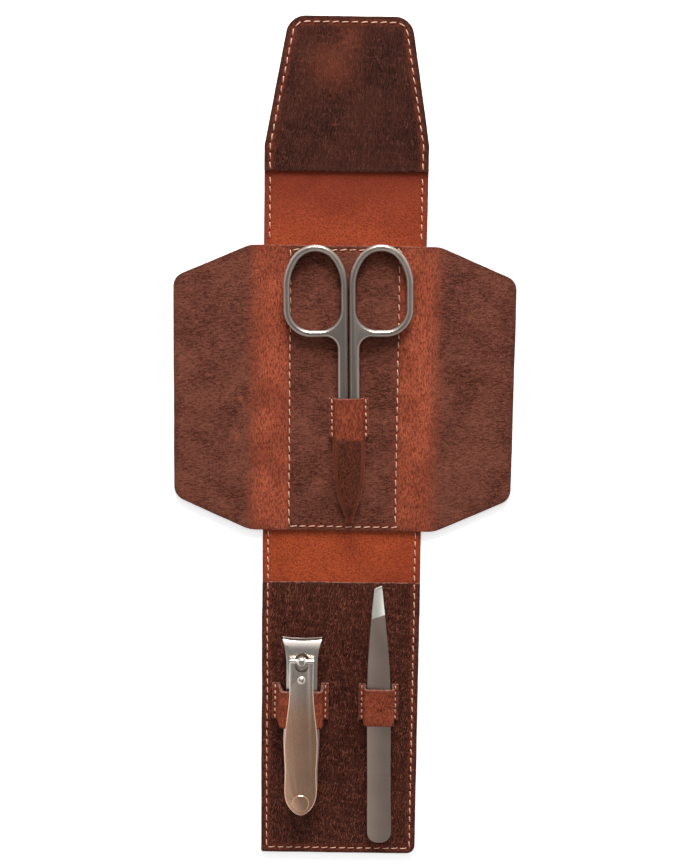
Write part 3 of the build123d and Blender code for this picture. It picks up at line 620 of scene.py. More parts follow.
def new_material(name):
    """A material with one Principled shader, and the piece's rest place and edge distance."""
    material = bpy.data.materials.new(name)
    material.use_nodes = True
    tree = material.node_tree
    tree.nodes.clear()
    shader = tree.nodes.new("ShaderNodeBsdfPrincipled")
    output = tree.nodes.new("ShaderNodeOutputMaterial")
    tree.links.new(shader.outputs[0], output.inputs["Surface"])
    place = add_node(tree, "ShaderNodeAttribute", attribute_name="place").outputs["Vector"]
    edge = add_node(tree, "ShaderNodeAttribute", attribute_name="edge").outputs["Fac"]
    return material, tree, shader, place, edge


def bump(tree, shader, height, distance, strength=1.0):
    made = add_node(tree, "ShaderNodeBump", {"Height": height, "Distance": distance, "Strength": strength})
    tree.links.new(made.outputs[0], shader.inputs["Normal"])


def pull_up_leather(name, dark, light, turn=0.0, width=0.5, long=2.0, cover=0.5, pores=0.5, pore_size=0.5,
                    cloud=0.3, cloud_share=0.4, fine_share=0.35, bands=False, spots=(), pouch_below=None,
                    roughness=0.56, line=1.0):
    """Brushed pull-up leather: dark ground, light creases, clouding, and tan where it is bent."""
    settings = bpy.context.scene.case_leather
    material, tree, shader, place, edge = new_material(name)
    grain = tree.nodes.new("ShaderNodeGroup")
    grain.node_tree = grain_group()
    tree.links.new(place, grain.inputs["Place"])
    for socket, value in (("Turn", turn), ("Crease Width", width), ("Crease Length", long),
                          ("Crease Cover", cover), ("Pore Size", pore_size)):
        grain.inputs[socket].default_value = value
    wear = tree.nodes.new("ShaderNodeGroup")
    wear.node_tree = wear_group()
    tree.links.new(place, wear.inputs["Place"])
    tree.links.new(edge, wear.inputs["Edge"])
    creases, fine, pore, clouds = (grain.outputs[n] for n in ("Creases", "Fine", "Pores", "Clouds"))
    broad = between(tree, clouds, 0.5 - cloud, 0.5 + cloud, 0.0, cloud_share)
    ground = mixed(tree, maths(tree, "MULTIPLY_ADD", fine, fine_share, broad), dark, light)
    tone = mixed(tree, creases, ground, light)
    if bands:
        tone = mixed(tree, tan_bands(tree, place), tone, tan_tone(tree, place))
    for x, y, size, strength in spots:
        tone = mixed(tree, worn_spot(tree, place, x, y, size, strength), tone, settings.tan)
    seam = add_node(tree, "ShaderNodeAttribute", attribute_name="seam").outputs["Fac"]
    rubbed = between(tree, noise_at(tree, place, 0.7, detail=3.0), 0.35, 0.65, 0.15, 0.75)
    tone = mixed(tree, maths(tree, "MULTIPLY", seam, rubbed), tone, settings.worn)
    if pouch_below is not None:
        along = add_node(tree, "ShaderNodeSeparateXYZ", {0: place}).outputs["Y"]
        ragged = maths(tree, "MULTIPLY_ADD", noise_at(tree, place, 0.5), 2.4, along)
        band = between(tree, ragged, pouch_below + 0.4, pouch_below + 2.4)
        sides = between(tree, maths(tree, "MULTIPLY_ADD", fine, 0.5, edge), 1.7, 0.7, 0.0, 0.75)
        strap = mixed(tree, between(tree, fine, 0.0, 1.0, 0.2, 1.0), settings.tan_dark, settings.strap)
        tone = mixed(tree, sides, tone, settings.strap)
        tone = mixed(tree, band, tone, strap)
    tone = mixed(tree, maths(tree, "MULTIPLY", pore, pores), tone, mixed(tree, 0.55, tone, (0, 0, 0, 1)))
    tone = mixed(tree, maths(tree, "MULTIPLY", wear.outputs["Border"], 0.3), tone, settings.cut_edge)
    tone = mixed(tree, maths(tree, "MULTIPLY", wear.outputs["Line"], line), tone, settings.cut_light)
    tree.links.new(tone, shader.inputs["Base Color"])
    rough = between(tree, creases, 0.0, 1.0, roughness + 0.04, roughness - 0.08)
    tree.links.new(rough, shader.inputs["Roughness"])
    shader.inputs["Specular IOR Level"].default_value = 0.06
    bump(tree, shader, grain.outputs["Height"], settings.grain_height)
    return material


def tan_bands(tree, place):
    """The two bands beside the middle where the cross-piece folds, with soft ragged edges."""
    across = maths(tree, "ABSOLUTE", add_node(tree, "ShaderNodeSeparateXYZ", {0: place}).outputs["X"])
    ragged = maths(tree, "MULTIPLY_ADD", noise_at(tree, place, 0.16, detail=4.0), 3.0, across)
    inner = between(tree, maths(tree, "MULTIPLY_ADD", noise_at(tree, place, 0.6), 1.0, across),
                    *TAN_BAND_INNER)
    outer = between(tree, ragged, *TAN_BAND_OUTER)
    return maths(tree, "MULTIPLY", inner, outer)


def tan_tone(tree, place):
    """Light pull-up leather with fine dark creases along the fold."""
    settings = bpy.context.scene.case_leather
    stretched = add_node(tree, "ShaderNodeVectorMath", {0: place, 1: (2.6, 0.8, 1.0)},
                         operation="MULTIPLY").outputs[0]
    streak = noise_at(tree, stretched, 1.0, detail=3.0, roughness=0.7)
    fold = between(tree, streak, 0.6, 0.36, 0.0, 0.8)
    clouds = between(tree, noise_at(tree, place, 0.1, detail=3.0), 0.4, 0.65, 0.0, 0.4)
    ground = mixed(tree, clouds, settings.tan, settings.tan_dark)
    return mixed(tree, fold, ground, settings.tan_dark)


def worn_spot(tree, place, x, y, size, strength):
    """A rubbed patch round a point."""
    away = add_node(tree, "ShaderNodeVectorMath", {0: place, 1: (x, y, LINING_TOP)},
                    operation="DISTANCE").outputs["Value"]
    ragged = maths(tree, "MULTIPLY_ADD", noise_at(tree, place, 0.8, detail=3.0), 1.5 * size, away)
    return between(tree, ragged, 2.2 * size, 0.6 * size, 0.0, strength)


def inner_face():
    """The outer leather's inner side: orange, with fine dark specks, and painted shade darkening it towards
    the flap lining's edge.
    """
    settings = bpy.context.scene.case_leather
    material, tree, shader, place, edge = new_material("inner_face")
    speck = noise_at(tree, place, 2.7, detail=1.5, roughness=0.7)
    broad = noise_at(tree, place, 0.06, detail=4.0)
    tone = mixed(tree, between(tree, speck, 0.62, 0.36, 0.0, 0.75), settings.inner, settings.inner_speck_and_shade)
    tone = mixed(tree, between(tree, broad, 0.42, 0.7, 0.0, 0.4), tone, settings.inner_speck_and_shade)
    along = add_node(tree, "ShaderNodeSeparateXYZ", {0: place}).outputs["Y"]
    # Painted shade: the inner face turns darker towards the flap lining's edge, standing in for the shadow
    # under the flap.
    painted_shade_under_flap = between(tree, along, FLAP_BASE - 30.0, FLAP_BASE, 0.1, 0.75)
    tone = mixed(tree, painted_shade_under_flap, tone, settings.inner_speck_and_shade)
    border = between(tree, edge, 2.4, 0.0, 0.0, 0.5)
    tone = mixed(tree, border, tone, settings.inner_speck_and_shade)
    tree.links.new(tone, shader.inputs["Base Color"])
    shader.inputs["Roughness"].default_value = 0.72
    shader.inputs["Specular IOR Level"].default_value = 0.15
    bump(tree, shader, speck, settings.grain_height)
    return material


def cut_edge():
    """The raw edge of a sheet: dark, burnished, with fibres along it."""
    settings = bpy.context.scene.case_leather
    material, tree, shader, place, _ = new_material("cut_edge")
    fibre = noise_at(tree, place, 1.2, detail=4.0, roughness=0.7)
    tone = mixed(tree, between(tree, fibre, 0.45, 0.7), settings.cut_edge, settings.cut_light)
    tree.links.new(tone, shader.inputs["Base Color"])
    shader.inputs["Roughness"].default_value = 0.6
    bump(tree, shader, fibre, 0.3 * settings.grain_height)
    return material


def outer_face():
    """The case's outside: dark waxed leather."""
    settings = bpy.context.scene.case_leather
    return pull_up_leather("outer_face", settings.flap_dark, settings.flap_light, turn=0.3, width=0.5,
                           long=2.0, cover=0.28, pores=0.5, pore_size=0.8, fine_share=0.25,
                           cloud_share=0.25, roughness=0.5)


def thread_material():
    """Waxed thread with the twist of its plies, painted shade in the grooves between them, and stains."""
    settings = bpy.context.scene.case_thread
    material, tree, shader, place, _ = new_material("waxed_thread")
    ply = add_node(tree, "ShaderNodeAttribute", attribute_name="ply").outputs["Fac"]
    stain = noise_at(tree, place, 0.35, detail=3.0)
    # Painted shade: the thread turns dark in the grooves between its twisted plies.
    tone = mixed(tree, between(tree, ply, 0.45, 0.0, 0.0, 0.8), settings.thread, settings.stain_and_twist_shade)
    tone = mixed(tree, between(tree, stain, 0.48, 0.72, 0.0, 0.55), tone, settings.stain_and_twist_shade)
    tree.links.new(tone, shader.inputs["Base Color"])
    shader.inputs["Roughness"].default_value = 0.6
    bump(tree, shader, noise_at(tree, place, 9.0, detail=2.0), 0.00004)
    return material


def needle_hole():
    """Painted shade of the needle hole between two stitches: a dark disc with a trace of fibre."""
    settings = bpy.context.scene.case_thread
    material, tree, shader, place, _ = new_material("needle_hole")
    fibre = noise_at(tree, place, 3.0, detail=2.0)
    tree.links.new(mixed(tree, between(tree, fibre, 0.4, 0.8, 0.0, 0.3), settings.hole, settings.stain_and_twist_shade),
                   shader.inputs["Base Color"])
    shader.inputs["Roughness"].default_value = 0.9
    shader.inputs["Specular IOR Level"].default_value = 0.05
    return material


def steel_material(name, steel, roughness=0.0, along=Y, second=None, line=None):
    """Satin stainless steel with fine brush lines along one axis.

    line is (x, y, slope, width) in millimetres: beyond it the steel turns to the second colour.
    """
    settings = bpy.context.scene.case_steel
    material, tree, shader, _, _ = new_material(name)
    place = add_node(tree, "ShaderNodeTexCoord").outputs["Object"]
    fine, coarse = 9000.0, 500.0
    scale = (fine, coarse, fine) if along == Y else (coarse, fine, fine)
    stretched = add_node(tree, "ShaderNodeVectorMath", {0: place, 1: scale}, operation="MULTIPLY").outputs[0]
    brush = noise_at(tree, stretched, 1.0, detail=3.0, roughness=0.6)
    smear = noise_at(tree, place, 90.0, detail=2.0)
    dull = tuple(c * 0.92 for c in steel[:3]) + (1,)
    tone = mixed(tree, between(tree, smear, 0.4, 0.7), steel, dull)
    if second is not None:
        x, y, slope, width = line
        parts = add_node(tree, "ShaderNodeSeparateXYZ", {0: place}).outputs
        rise = maths(tree, "MULTIPLY_ADD", parts["X"], -slope, parts["Y"])
        start = (y - slope * x) * MM
        tone = mixed(tree, between(tree, rise, start, start + width * MM), tone, second)
    tree.links.new(tone, shader.inputs["Base Color"])
    shader.inputs["Metallic"].default_value = 1.0
    base = settings.roughness + roughness
    tree.links.new(between(tree, brush, 0.3, 0.7, base - 0.03, base + 0.05), shader.inputs["Roughness"])
    bump(tree, shader, brush, settings.brush_height)
    return material


def named_material(name, make):
    """A material made once and shared."""
    return bpy.data.materials.get(name) or make()


# ---- Leather pieces ----


def outer_materials():
    return [named_material("inner_face", inner_face), named_material("cut_edge", cut_edge),
            named_material("outer_face", outer_face)]


def lining_materials(name, make):
    return [named_material(name, make), named_material("cut_edge", cut_edge),
            named_material("inner_face", inner_face)]


class CASE_OT_outer_leather(Operator):
    """Make the five stretches of the outer leather"""

    bl_idname = "case.outer_leather"
    bl_label = "Outer Leather"

    def execute(self, context):
        materials = outer_materials()
        heights = (0.0, OUTER_TOP)
        edges = [(STRIP_HALF - SEAM_INSET) * side for side in (-1, 1)]
        flap = leather_sheet("flap_outer_leather", flap_plan(FLAP_FOLD), Y, heights, materials,
                             seams=[(Y, FLAP_FOLD)], fine_across=edges, under_grooves=[flap_seam()])
        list(fold_zone("flap_fold", Y, 1, FLAP_BEND))
        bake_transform(flap)
        top = leather_sheet("top_spine_leather", rectangle(-STRIP_HALF, STRIP_HALF, TOP_FOLD, FLAP_FOLD), Y,
                            heights, materials, seams=[(Y, TOP_FOLD), (Y, FLAP_FOLD)], fine_across=edges,
                            grooves=side_seams(TOP_FOLD, FLAP_FOLD),
                            under_grooves=side_seams(TOP_FOLD, FLAP_FOLD))
        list(fold_zone("top_spine_fold", Y, 1, FLAP_BEND))
        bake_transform(top)
        back = leather_sheet("back_leather", rectangle(-STRIP_HALF, STRIP_HALF, CENTRE_LOW, TOP_FOLD), Y,
                             heights, materials, seams=[(Y, CENTRE_LOW), (Y, TOP_FOLD)],
                             under_grooves=[centre_seam()])
        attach(back, "back")
        low = leather_sheet("bottom_spine_leather",
                            rectangle(-STRIP_HALF, STRIP_HALF, PANEL_HIGH, CENTRE_LOW), Y,
                            heights, materials, seams=[(Y, PANEL_HIGH), (Y, CENTRE_LOW)], fine_across=edges,
                            grooves=side_seams(PANEL_HIGH, CENTRE_LOW),
                            under_grooves=side_seams(PANEL_HIGH, CENTRE_LOW))
        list(fold_zone("bottom_spine_fold", Y, -1, FLAP_BEND))
        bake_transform(low)
        panel = leather_sheet("panel_outer_leather", panel_plan(PANEL_HIGH), Y, heights, materials,
                              seams=[(Y, PANEL_HIGH)], fine_across=edges, under_grooves=[panel_seam()])
        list(fold_zone("tool_panel_fold", Y, -1, FLAP_BEND))
        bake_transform(panel)
        stands_for("outer_flap")
        stands_for("outer_top_spine")
        stands_for("outer_back")
        stands_for("outer_bottom_spine")
        stands_for("outer_tool_panel")
        return {"FINISHED"}


def fold_zone(joint, axis, way, reach):
    """The place of a fold's joint and a place a reach beyond it along an axis, in metres."""
    start = FOLDS[joint].copy()
    end = start.copy()
    end[axis] += way * reach
    return start * MM, end * MM


def stands_for(node):
    """Hide a CAD node, whose shown form is a piece made here."""
    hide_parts(node)


class CASE_OT_linings(Operator):
    """Make the flap and panel linings and the cross-piece with its wings"""

    bl_idname = "case.linings"
    bl_label = "Linings"

    def execute(self, context):
        settings = context.scene.case_leather
        heights = (OUTER_TOP, LINING_TOP)
        edges = [(STRIP_HALF - SEAM_INSET) * side for side in (-1, 1)]

        def flap_finish():
            return pull_up_leather("flap_leather", settings.flap_dark, settings.flap_light, turn=0.04,
                                   width=0.34, long=2.4, cover=0.26, pores=0.3, pore_size=0.55, cloud=0.2,
                                   cloud_share=0.18, fine_share=0.22,
                                   spots=[(-5, 122, 9.0, 0.2), (1, 131, 4.5, 0.16)])

        flap = leather_sheet("flap_lining_leather", flap_plan(FLAP_BASE), Y, heights,
                             lining_materials("flap_leather", flap_finish), fine_across=edges,
                             grooves=[flap_seam()], bumps=[(FLAP_MAGNET, 4.6, 0.16)])
        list(fold_zone("flap_fold", Y, 1, FLAP_BEND))
        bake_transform(flap)
        stands_for("flap_lining")

        def cross_finish():
            spots = [(-33.5, 16.5, 1.1, 0.6), (-34.5, 4.2, 1.2, 0.6)]
            return pull_up_leather("cross_leather", settings.wing_dark, settings.wing_light, turn=1.52,
                                   width=0.42, long=1.5, cover=0.2, pores=0.6, pore_size=0.6, cloud=0.2,
                                   cloud_share=0.34, fine_share=0.46, bands=True,
                                   spots=spots)

        cross = lining_materials("cross_leather", cross_finish)
        seam = centre_seam()
        half = seam[1][0]
        centre = leather_sheet("centre_leather",
                               rectangle(-CENTRE_HALF, CENTRE_HALF, CENTRE_LOW, CENTRE_HIGH), Y,
                               heights, cross, seams=[(X, -CENTRE_HALF), (X, CENTRE_HALF)],
                               fine_across=[-half, half], fine_at=[seam[0][1], seam[2][1]], grooves=[seam])
        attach(centre, "back")
        stands_for("centre_lining")
        for side, name in ((-1, "left_wing"), (1, "right_wing")):
            fold = side * CENTRE_HALF
            wing = leather_sheet(f"{name}_leather", wing_plan(side), X, heights, cross, seams=[(X, fold)],
                                 lift=lambda plan: wing_lie(plan))
            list(fold_zone(f"{name}_fold", X, side, WING_BEND))
            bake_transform(wing)
            stands_for(name)

        def panel_finish():
            return pull_up_leather("panel_leather", settings.panel_dark, settings.panel_light, turn=0.14,
                                   width=0.3, long=2.6, cover=0.24, pores=0.3, pore_size=0.8,
                                   cloud_share=0.08, fine_share=0.06)

        panel = leather_sheet("tool_panel_leather", panel_plan(PANEL_HIGH), Y, heights,
                              lining_materials("panel_leather", panel_finish), fine_across=edges,
                              fine_at=[PANEL_LOW + SEAM_INSET], grooves=[panel_seam()],
                              bumps=[(PANEL_MAGNET, 4.6, 0.08)])
        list(fold_zone("tool_panel_fold", Y, -1, FLAP_BEND))
        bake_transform(panel)
        stands_for("tool_panel_lining")
        return {"FINISHED"}


def wing_lie(plan):
    """How a wing lies: a slow wave, and its outer edge a little lower."""
    away = np.clip((np.abs(plan[:, 0]) - CENTRE_HALF) / (WING_EDGE - CENTRE_HALF), 0, 1)
    return away**2 * (0.3 * uneven(plan, 26, 2.2) - 0.25)


# ---- Sheath and loops ----


def arch(name, stations, materials, turned=None):
    """A strap or pouch over a tool: at each station along Y, an outer and an inner line across."""
    outer_count = len(stations[0][1])
    inner_count = len(stations[0][2])
    ring = outer_count + inner_count
    low, high = stations[0][0], stations[-1][0]
    vertices, edges = [], []
    for y, outer, inner in stations:
        row = [(x, y, z) for x, z in [*outer, *inner[::-1]]]
        vertices += row
        sides = [outer[0][0], outer[-1][0]]
        edges += [max(min(x - sides[0], sides[1] - x, y - low, high - y), 0) for x, y, z in row]
    faces, kinds = [], []
    for row in range(len(stations) - 1):
        for index in range(ring):
            a, b = row * ring + index, row * ring + (index + 1) % ring
            faces.append((a, b, b + ring, a + ring))
            on_outer = index < outer_count - 1
            kinds.append(0 if on_outer else 2)
    for row, flip in ((0, False), (len(stations) - 1, True)):
        start = row * ring
        for index in range(outer_count - 1):
            a, b = start + index, start + index + 1
            c, d = start + ring - 2 - index, start + ring - 1 - index
            face = (a, d, c, b)
            faces.append(face if not flip else face[::-1])
            kinds.append(1)
    place = np.array(vertices)
    moved = place if turned is None else turned(place)
    return new_piece(name, moved, faces, materials, kinds, edges, place)


def arch_lines(middle, top_half, slopes, foot, top, top_round):
    """Across a strap, from one foot over the tool to the other: the outer line and the inner one."""
    wall, base = STRAP_LEATHER, LINING_TOP
    lines = []
    for inner in (False, True):
        halves = []
        for side, slope in zip((-1, 1), slopes):
            reach = top_half + slope + wall
            if inner:
                corners = [(0, top - wall), (top_half, top - wall), (reach - wall, base),
                           (reach + foot, base)]
                bends = [0, max(0.15, top_round - wall), 0.15, 0]
            else:
                corners = [(0, top), (top_half + wall, top), (reach, base + wall),
                           (reach + foot, base + wall)]
                bends = [0, top_round, STRAP_BEND, 0]
            half = evenly(rounded(corners, bends, closed=False, steps=8), 20)
            halves.append(half * np.array([side, 1]) + np.array([middle, 0]))
        lines.append([tuple(p) for p in np.concatenate([halves[0][::-1], halves[1][1:]])])
    return lines


def eased(outer, inner, amount):
    """The outer line drawn towards the inner one, for a rounded end."""
    return [(a[0] + (b[0] - a[0]) * amount, a[1] + (b[1] - a[1]) * amount) for a, b in zip(outer, inner)]


END_EASE = ((0.0, 0.28), (0.12, 0.1), (0.3, 0.0))


def strap_stations(low, high, section, count, bunch=1.0):
    """Stations along a strap or pouch, with both cut ends rounded."""
    middle = [low + 0.7 + (high - low - 1.4) * (i / count) ** bunch for i in range(count + 1)]
    places = [(low + step, ease) for step, ease in END_EASE] + [(y, 0) for y in middle]
    places += [(high - step, ease) for step, ease in reversed(END_EASE)]
    stations = []
    for y, ease in places:
        outer, inner = section(y)
        stations.append((y, eased(outer, inner, ease), inner))
    return stations


def dragged(top, amount, rumple):
    """A strap pulled towards the case's near end as it climbs over its tool, with slight dents."""
    foot_top = LINING_TOP + STRAP_LEATHER

    def move(points):
        climb = np.clip((points[:, 2] - foot_top) / (top - foot_top), 0, 1)
        moved = points.copy()
        moved[:, 1] -= amount * climb
        moved[:, 2] += rumple * climb * uneven(points[:, :2], 3.1, 7.3)
        moved[:, :2] += hand_cut(points[:, :2])
        return moved

    return move


def leaned(slide, pivot):
    """A turn in plan from the case's length to the line of a slide, about a pivot."""
    angle = math.atan2(SLIDES[slide].x, -SLIDES[slide].y)
    cos, sin = math.cos(angle), math.sin(angle)

    def turn(points):
        away = points[:, :2] - np.array(pivot[:2])
        moved = points.copy()
        moved[:, 0] = pivot[0] + cos * away[:, 0] - sin * away[:, 1]
        moved[:, 1] = pivot[1] + sin * away[:, 0] + cos * away[:, 1]
        return moved

    return turn


class CASE_OT_tool_loops(Operator):
    """Make the two leather loops of the tool panel"""

    bl_idname = "case.tool_loops"
    bl_label = "Tool Loops"

    def execute(self, context):
        settings = context.scene.case_leather

        def finish():
            return pull_up_leather("loop_leather", settings.strap_dark, settings.strap, turn=0.1, width=0.5,
                                   long=1.4, cover=0.4, pores=0.6, pore_size=0.6, cloud=0.15, fine_share=0.75,
                                   roughness=0.6)

        materials = lining_materials("loop_leather", finish)
        for node, slopes, drag in (("clipper_loop", (1.5, 0.25), 1.3), ("tweezers_loop", (0.0, 0.0), 0.5)):
            left, right = span(node, X)
            low, high = span(node, Y)
            top = span(node, Z)[1]
            top_half = (right - left - sum(slopes)) / 2 - STRAP_FOOT - STRAP_LEATHER
            middle = left + STRAP_FOOT + STRAP_LEATHER + slopes[0] + top_half
            lines = arch_lines(middle, top_half, slopes, STRAP_FOOT, top, 1.2)
            stations = strap_stations(low, high, lambda y: lines, 12)
            loop = arch(f"{node}_leather", stations, materials, dragged(top, drag, 0.12))
            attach(loop, "tool_panel")
            stands_for(node)
        return {"FINISHED"}


class CASE_OT_sheath(Operator):
    """Make the scissors sheath: a stitched band that runs into a pouch"""

    bl_idname = "case.sheath"
    bl_label = "Sheath"

    def execute(self, context):
        settings = context.scene.case_leather
        pivot = FOLDS["scissors_open"]
        top = span("scissors_sheath", Z)[1]
        low, high = pivot.y + SHEATH_TIP, pivot.y + SHEATH_MOUTH
        band_low = high - SHEATH_BAND

        def finish():
            return pull_up_leather("sheath_leather", settings.sheath_dark, settings.sheath_light, turn=0.1,
                                   width=0.5, long=1.6, cover=0.35, pores=0.5, pore_size=0.6, fine_share=0.5,
                                   cloud_share=0.2, pouch_below=band_low - 0.5)

        def section(y):
            levels = [level for level, _ in reversed(SHEATH_TAPER)]
            halves = [half for _, half in reversed(SHEATH_TAPER)]
            half = float(np.interp(y - pivot.y, levels, halves))
            inward = min(max((SHEATH_TAPER[0][0] - (y - pivot.y)) / (SHEATH_TAPER[0][0] - SHEATH_TIP), 0), 1)
            drop = 1.0 * inward + 2.1 * max(0, inward - 0.8) / 0.2
            foot = SHEATH_FOOT * min(max((y - band_low + 0.6) / 1.4, 0.06), 1)
            slope = 0.5 * min(half / SHEATH_HALF, 1)
            top_half = max(half - STRAP_LEATHER - slope, 0.05)
            return arch_lines(pivot.x, top_half, (slope, slope), foot, top - drop, min(1.5, 0.6 * half))

        materials = lining_materials("sheath_leather", finish)
        sheath = arch("sheath_leather_pouch", strap_stations(low, high, section, 50, 1.25), materials,
                      leaned("scissors_slide", pivot))
        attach(sheath, "back")
        stands_for("scissors_sheath")
        return {"FINISHED"}


# ---- Stitching ----


HOLE_SIDES = 8


def stitch_row(path, surface, pitch, seed, up=1, thick=1.0):
    """Vertices, faces and ply values of one row of twisted stitches along a path."""
    settings = bpy.context.scene.case_thread
    line = np.array([tuple(p)[:2] for p in path])
    run = np.concatenate([[0], np.cumsum(np.linalg.norm(np.diff(line, axis=0), axis=1))])
    count = max(1, round(run[-1] / pitch))
    pace = run[-1] / count
    rings, sides = 11, 8
    vertices, faces, plies, kinds = [], [], [], []
    half_width = thick * settings.width / MM / 2
    hole = settings.hole_width / MM / 2
    rise = settings.rise / MM
    for index in range(count):
        vary = [noise.noise(Vector((index * 1.37, seed, k * 7.7))) for k in range(4)]
        middle = (index + 0.5) * pace + 0.08 * vary[0]
        long = pace * (1 - settings.gap) * (1 + 0.12 * vary[1])
        centre = np.array([np.interp(middle, run, line[:, axis]) for axis in (0, 1)])
        ahead = np.array([np.interp(middle + 0.4, run, line[:, axis]) for axis in (0, 1)])
        behind = np.array([np.interp(middle - 0.4, run, line[:, axis]) for axis in (0, 1)])
        heading = ahead - behind
        angle = math.atan2(heading[1], heading[0]) + settings.slant * (1 + 0.8 * vary[2])
        on = np.array([math.cos(angle), math.sin(angle)])
        beside = np.array([-on[1], on[0]])
        centre = centre + 0.06 * vary[3] * beside
        hole_centre = centre + on * pace / 2
        # A flat dark disc just above the leather, the painted shade of the needle hole.
        start = len(vertices)
        for corner in range(HOLE_SIDES):
            turn = 2 * math.pi * corner / HOLE_SIDES
            flat = hole_centre + on * 1.3 * hole * math.cos(turn) + beside * hole * math.sin(turn)
            vertices.append((*flat, surface + up * 0.03))
            plies.append(0)
        rim = tuple(start + corner for corner in range(HOLE_SIDES))
        faces.append(rim if up > 0 else rim[::-1])
        kinds.append(1)
        start = len(vertices)
        for ring in range(rings):
            part = ring / (rings - 1)
            off = 2 * part - 1
            swell = 1 - 0.3 * abs(off) ** 3
            crown = rise - 0.55 * half_width - (rise + 0.22) * abs(off) ** 3.2
            for side in range(sides):
                turn = 2 * math.pi * side / sides
                ply = math.cos(2 * turn - 5.0 * part * math.pi)
                radius = half_width * swell * (1 + 0.13 * ply)
                flat = centre + on * off * long / 2 + beside * radius * math.cos(turn)
                height = surface + up * (crown + 0.62 * radius * math.sin(turn))
                vertices.append((*flat, height))
                plies.append(0.5 + 0.5 * ply)
        for ring in range(rings - 1):
            for side in range(sides):
                a = start + ring * sides + side
                b = start + ring * sides + (side + 1) % sides
                quad = (a, b, b + sides, a + sides)
                faces.append(quad[::-1] if up > 0 else quad)
        first = tuple(start + side for side in range(sides))
        last = tuple(start + (rings - 1) * sides + side for side in range(sides))
        faces.append(first if up > 0 else first[::-1])
        faces.append(last[::-1] if up > 0 else last)
        kinds += [0] * ((rings - 1) * sides + 2)
    return vertices, faces, plies, kinds


def stitching(name, paths, surface, pitch=STITCH_PITCH, up=1, turned=None, thick=1.0):
    """One piece that holds every stitch of a seam, with a dark disc between stitches that paints the shade of
    the needle hole.
    """
    vertices, faces, plies, kinds = [], [], [], []
    for number, path in enumerate(paths):
        more, joined, ply, kind = stitch_row(path, surface, pitch, len(name) + number * 3.3, up, thick)
        faces += [tuple(v + len(vertices) for v in face) for face in joined]
        vertices += more
        plies += ply
        kinds += kind
    points = np.array(vertices)
    points[:, :2] += hand_cut(points[:, :2])
    if turned is not None:
        points = turned(points)
    materials = [named_material("waxed_thread", thread_material), named_material("needle_hole", needle_hole)]
    piece = new_piece(name, points, faces, materials, kinds, place=vertices)
    kept = piece.data.attributes.new("ply", "FLOAT", "POINT")
    kept.data.foreach_set("value", np.array(plies, np.float32))
    return piece


class CASE_OT_stitching(Operator):
    """Make every seam, stitch by stitch, on the inside and on the outside of the case"""

    bl_idname = "case.stitching"
    bl_label = "Stitching"

    def execute(self, context):
        strap_top = LINING_TOP + STRAP_LEATHER
        under = 0.26
        loop_rows = {}
        for node in ("clipper_loop_stitching", "tweezers_loop_stitching"):
            left, right = span(node, X)
            low, high = span(node, Y)
            loop_rows[node] = side_seams(low - 0.3, high + 0.3, (right - left) / 2 - 0.25, (left + right) / 2)
        pivot = FOLDS["scissors_open"]
        mouth = pivot.y + SHEATH_MOUTH
        loop_rows["sheath_stitching"] = side_seams(mouth - SHEATH_BAND, mouth,
                                                   SHEATH_HALF + SHEATH_STITCH, pivot.x)
        turns = {"sheath_stitching": leaned("scissors_slide", pivot)}
        flap, panel, centre = [flap_seam()], [panel_seam()], [centre_seam()]
        top, low = side_seams(TOP_FOLD, FLAP_FOLD), side_seams(PANEL_HIGH, CENTRE_LOW)
        flap_zone = fold_zone("flap_fold", Y, 1, FLAP_BEND)
        top_zone = fold_zone("top_spine_fold", Y, 1, FLAP_BEND)
        low_zone = fold_zone("bottom_spine_fold", Y, -1, FLAP_BEND)
        panel_zone = fold_zone("tool_panel_fold", Y, -1, FLAP_BEND)
        rows = [
            ("flap", flap, LINING_TOP, ("top_spine", "flap", *flap_zone)),
            ("top_spine", top, OUTER_TOP, ("back", "top_spine", *top_zone)),
            ("centre", centre, LINING_TOP, ("back",)),
            ("bottom_spine", low, OUTER_TOP, ("back", "bottom_spine", *low_zone)),
            ("tool_panel", panel, LINING_TOP, ("bottom_spine", "tool_panel", *panel_zone)),
        ]
        for name, paths, surface, follow in rows:
            inside = stitching(f"{name}_seam", paths, surface)
            outside = stitching(f"{name}_outer_seam", paths, under, up=-1)
            for piece in (inside, outside):
                if len(follow) == 1:
                    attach(piece, follow[0])
                else:
                    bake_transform(piece)
            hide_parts(f"{name}_stitching")
        for node, body in (("clipper_loop_stitching", "tool_panel"),
                           ("tweezers_loop_stitching", "tool_panel"), ("sheath_stitching", "back")):
            piece = stitching(node.replace("stitching", "seam"), loop_rows[node], strap_top, STRAP_PITCH,
                              turned=turns.get(node), thick=1.35)
            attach(piece, body)
            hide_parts(node)
        return {"FINISHED"}


# ---- Tools ----


def finish_steel(node, material, rounding=None):
    """Give a CAD node its steel, clean faces and slightly rounded edges."""
    piece = frame["nodes"][node]
    piece.data.materials.clear()
    piece.data.materials.append(material)
    for polygon in piece.data.polygons:
        polygon.use_smooth = True
    weld = piece.modifiers.new("weld", "WELD")
    weld.merge_threshold = 0.000001
    flat = piece.modifiers.new("flat_faces", "DECIMATE")
    flat.decimate_type = "DISSOLVE"
    flat.angle_limit = math.radians(0.6)
    bevel = piece.modifiers.new("edges", "BEVEL")
    bevel.width = rounding or bpy.context.scene.case_steel.edge
    bevel.segments = 3
    bevel.limit_method = "ANGLE"
    bevel.angle_limit = math.radians(28)
    bevel.harden_normals = True


class CASE_OT_scissors(Operator):
    """Finish the nail scissors"""

    bl_idname = "case.scissors"
    bl_label = "Scissors"

    def execute(self, context):
        settings = context.scene.case_steel
        steel = steel_material("scissors_steel", settings.scissors, 0.03)
        for node in ("scissors_left_half", "scissors_right_half"):
            finish_steel(node, steel, settings.ring_edge)
        finish_steel("scissors_screw", steel)
        return {"FINISHED"}


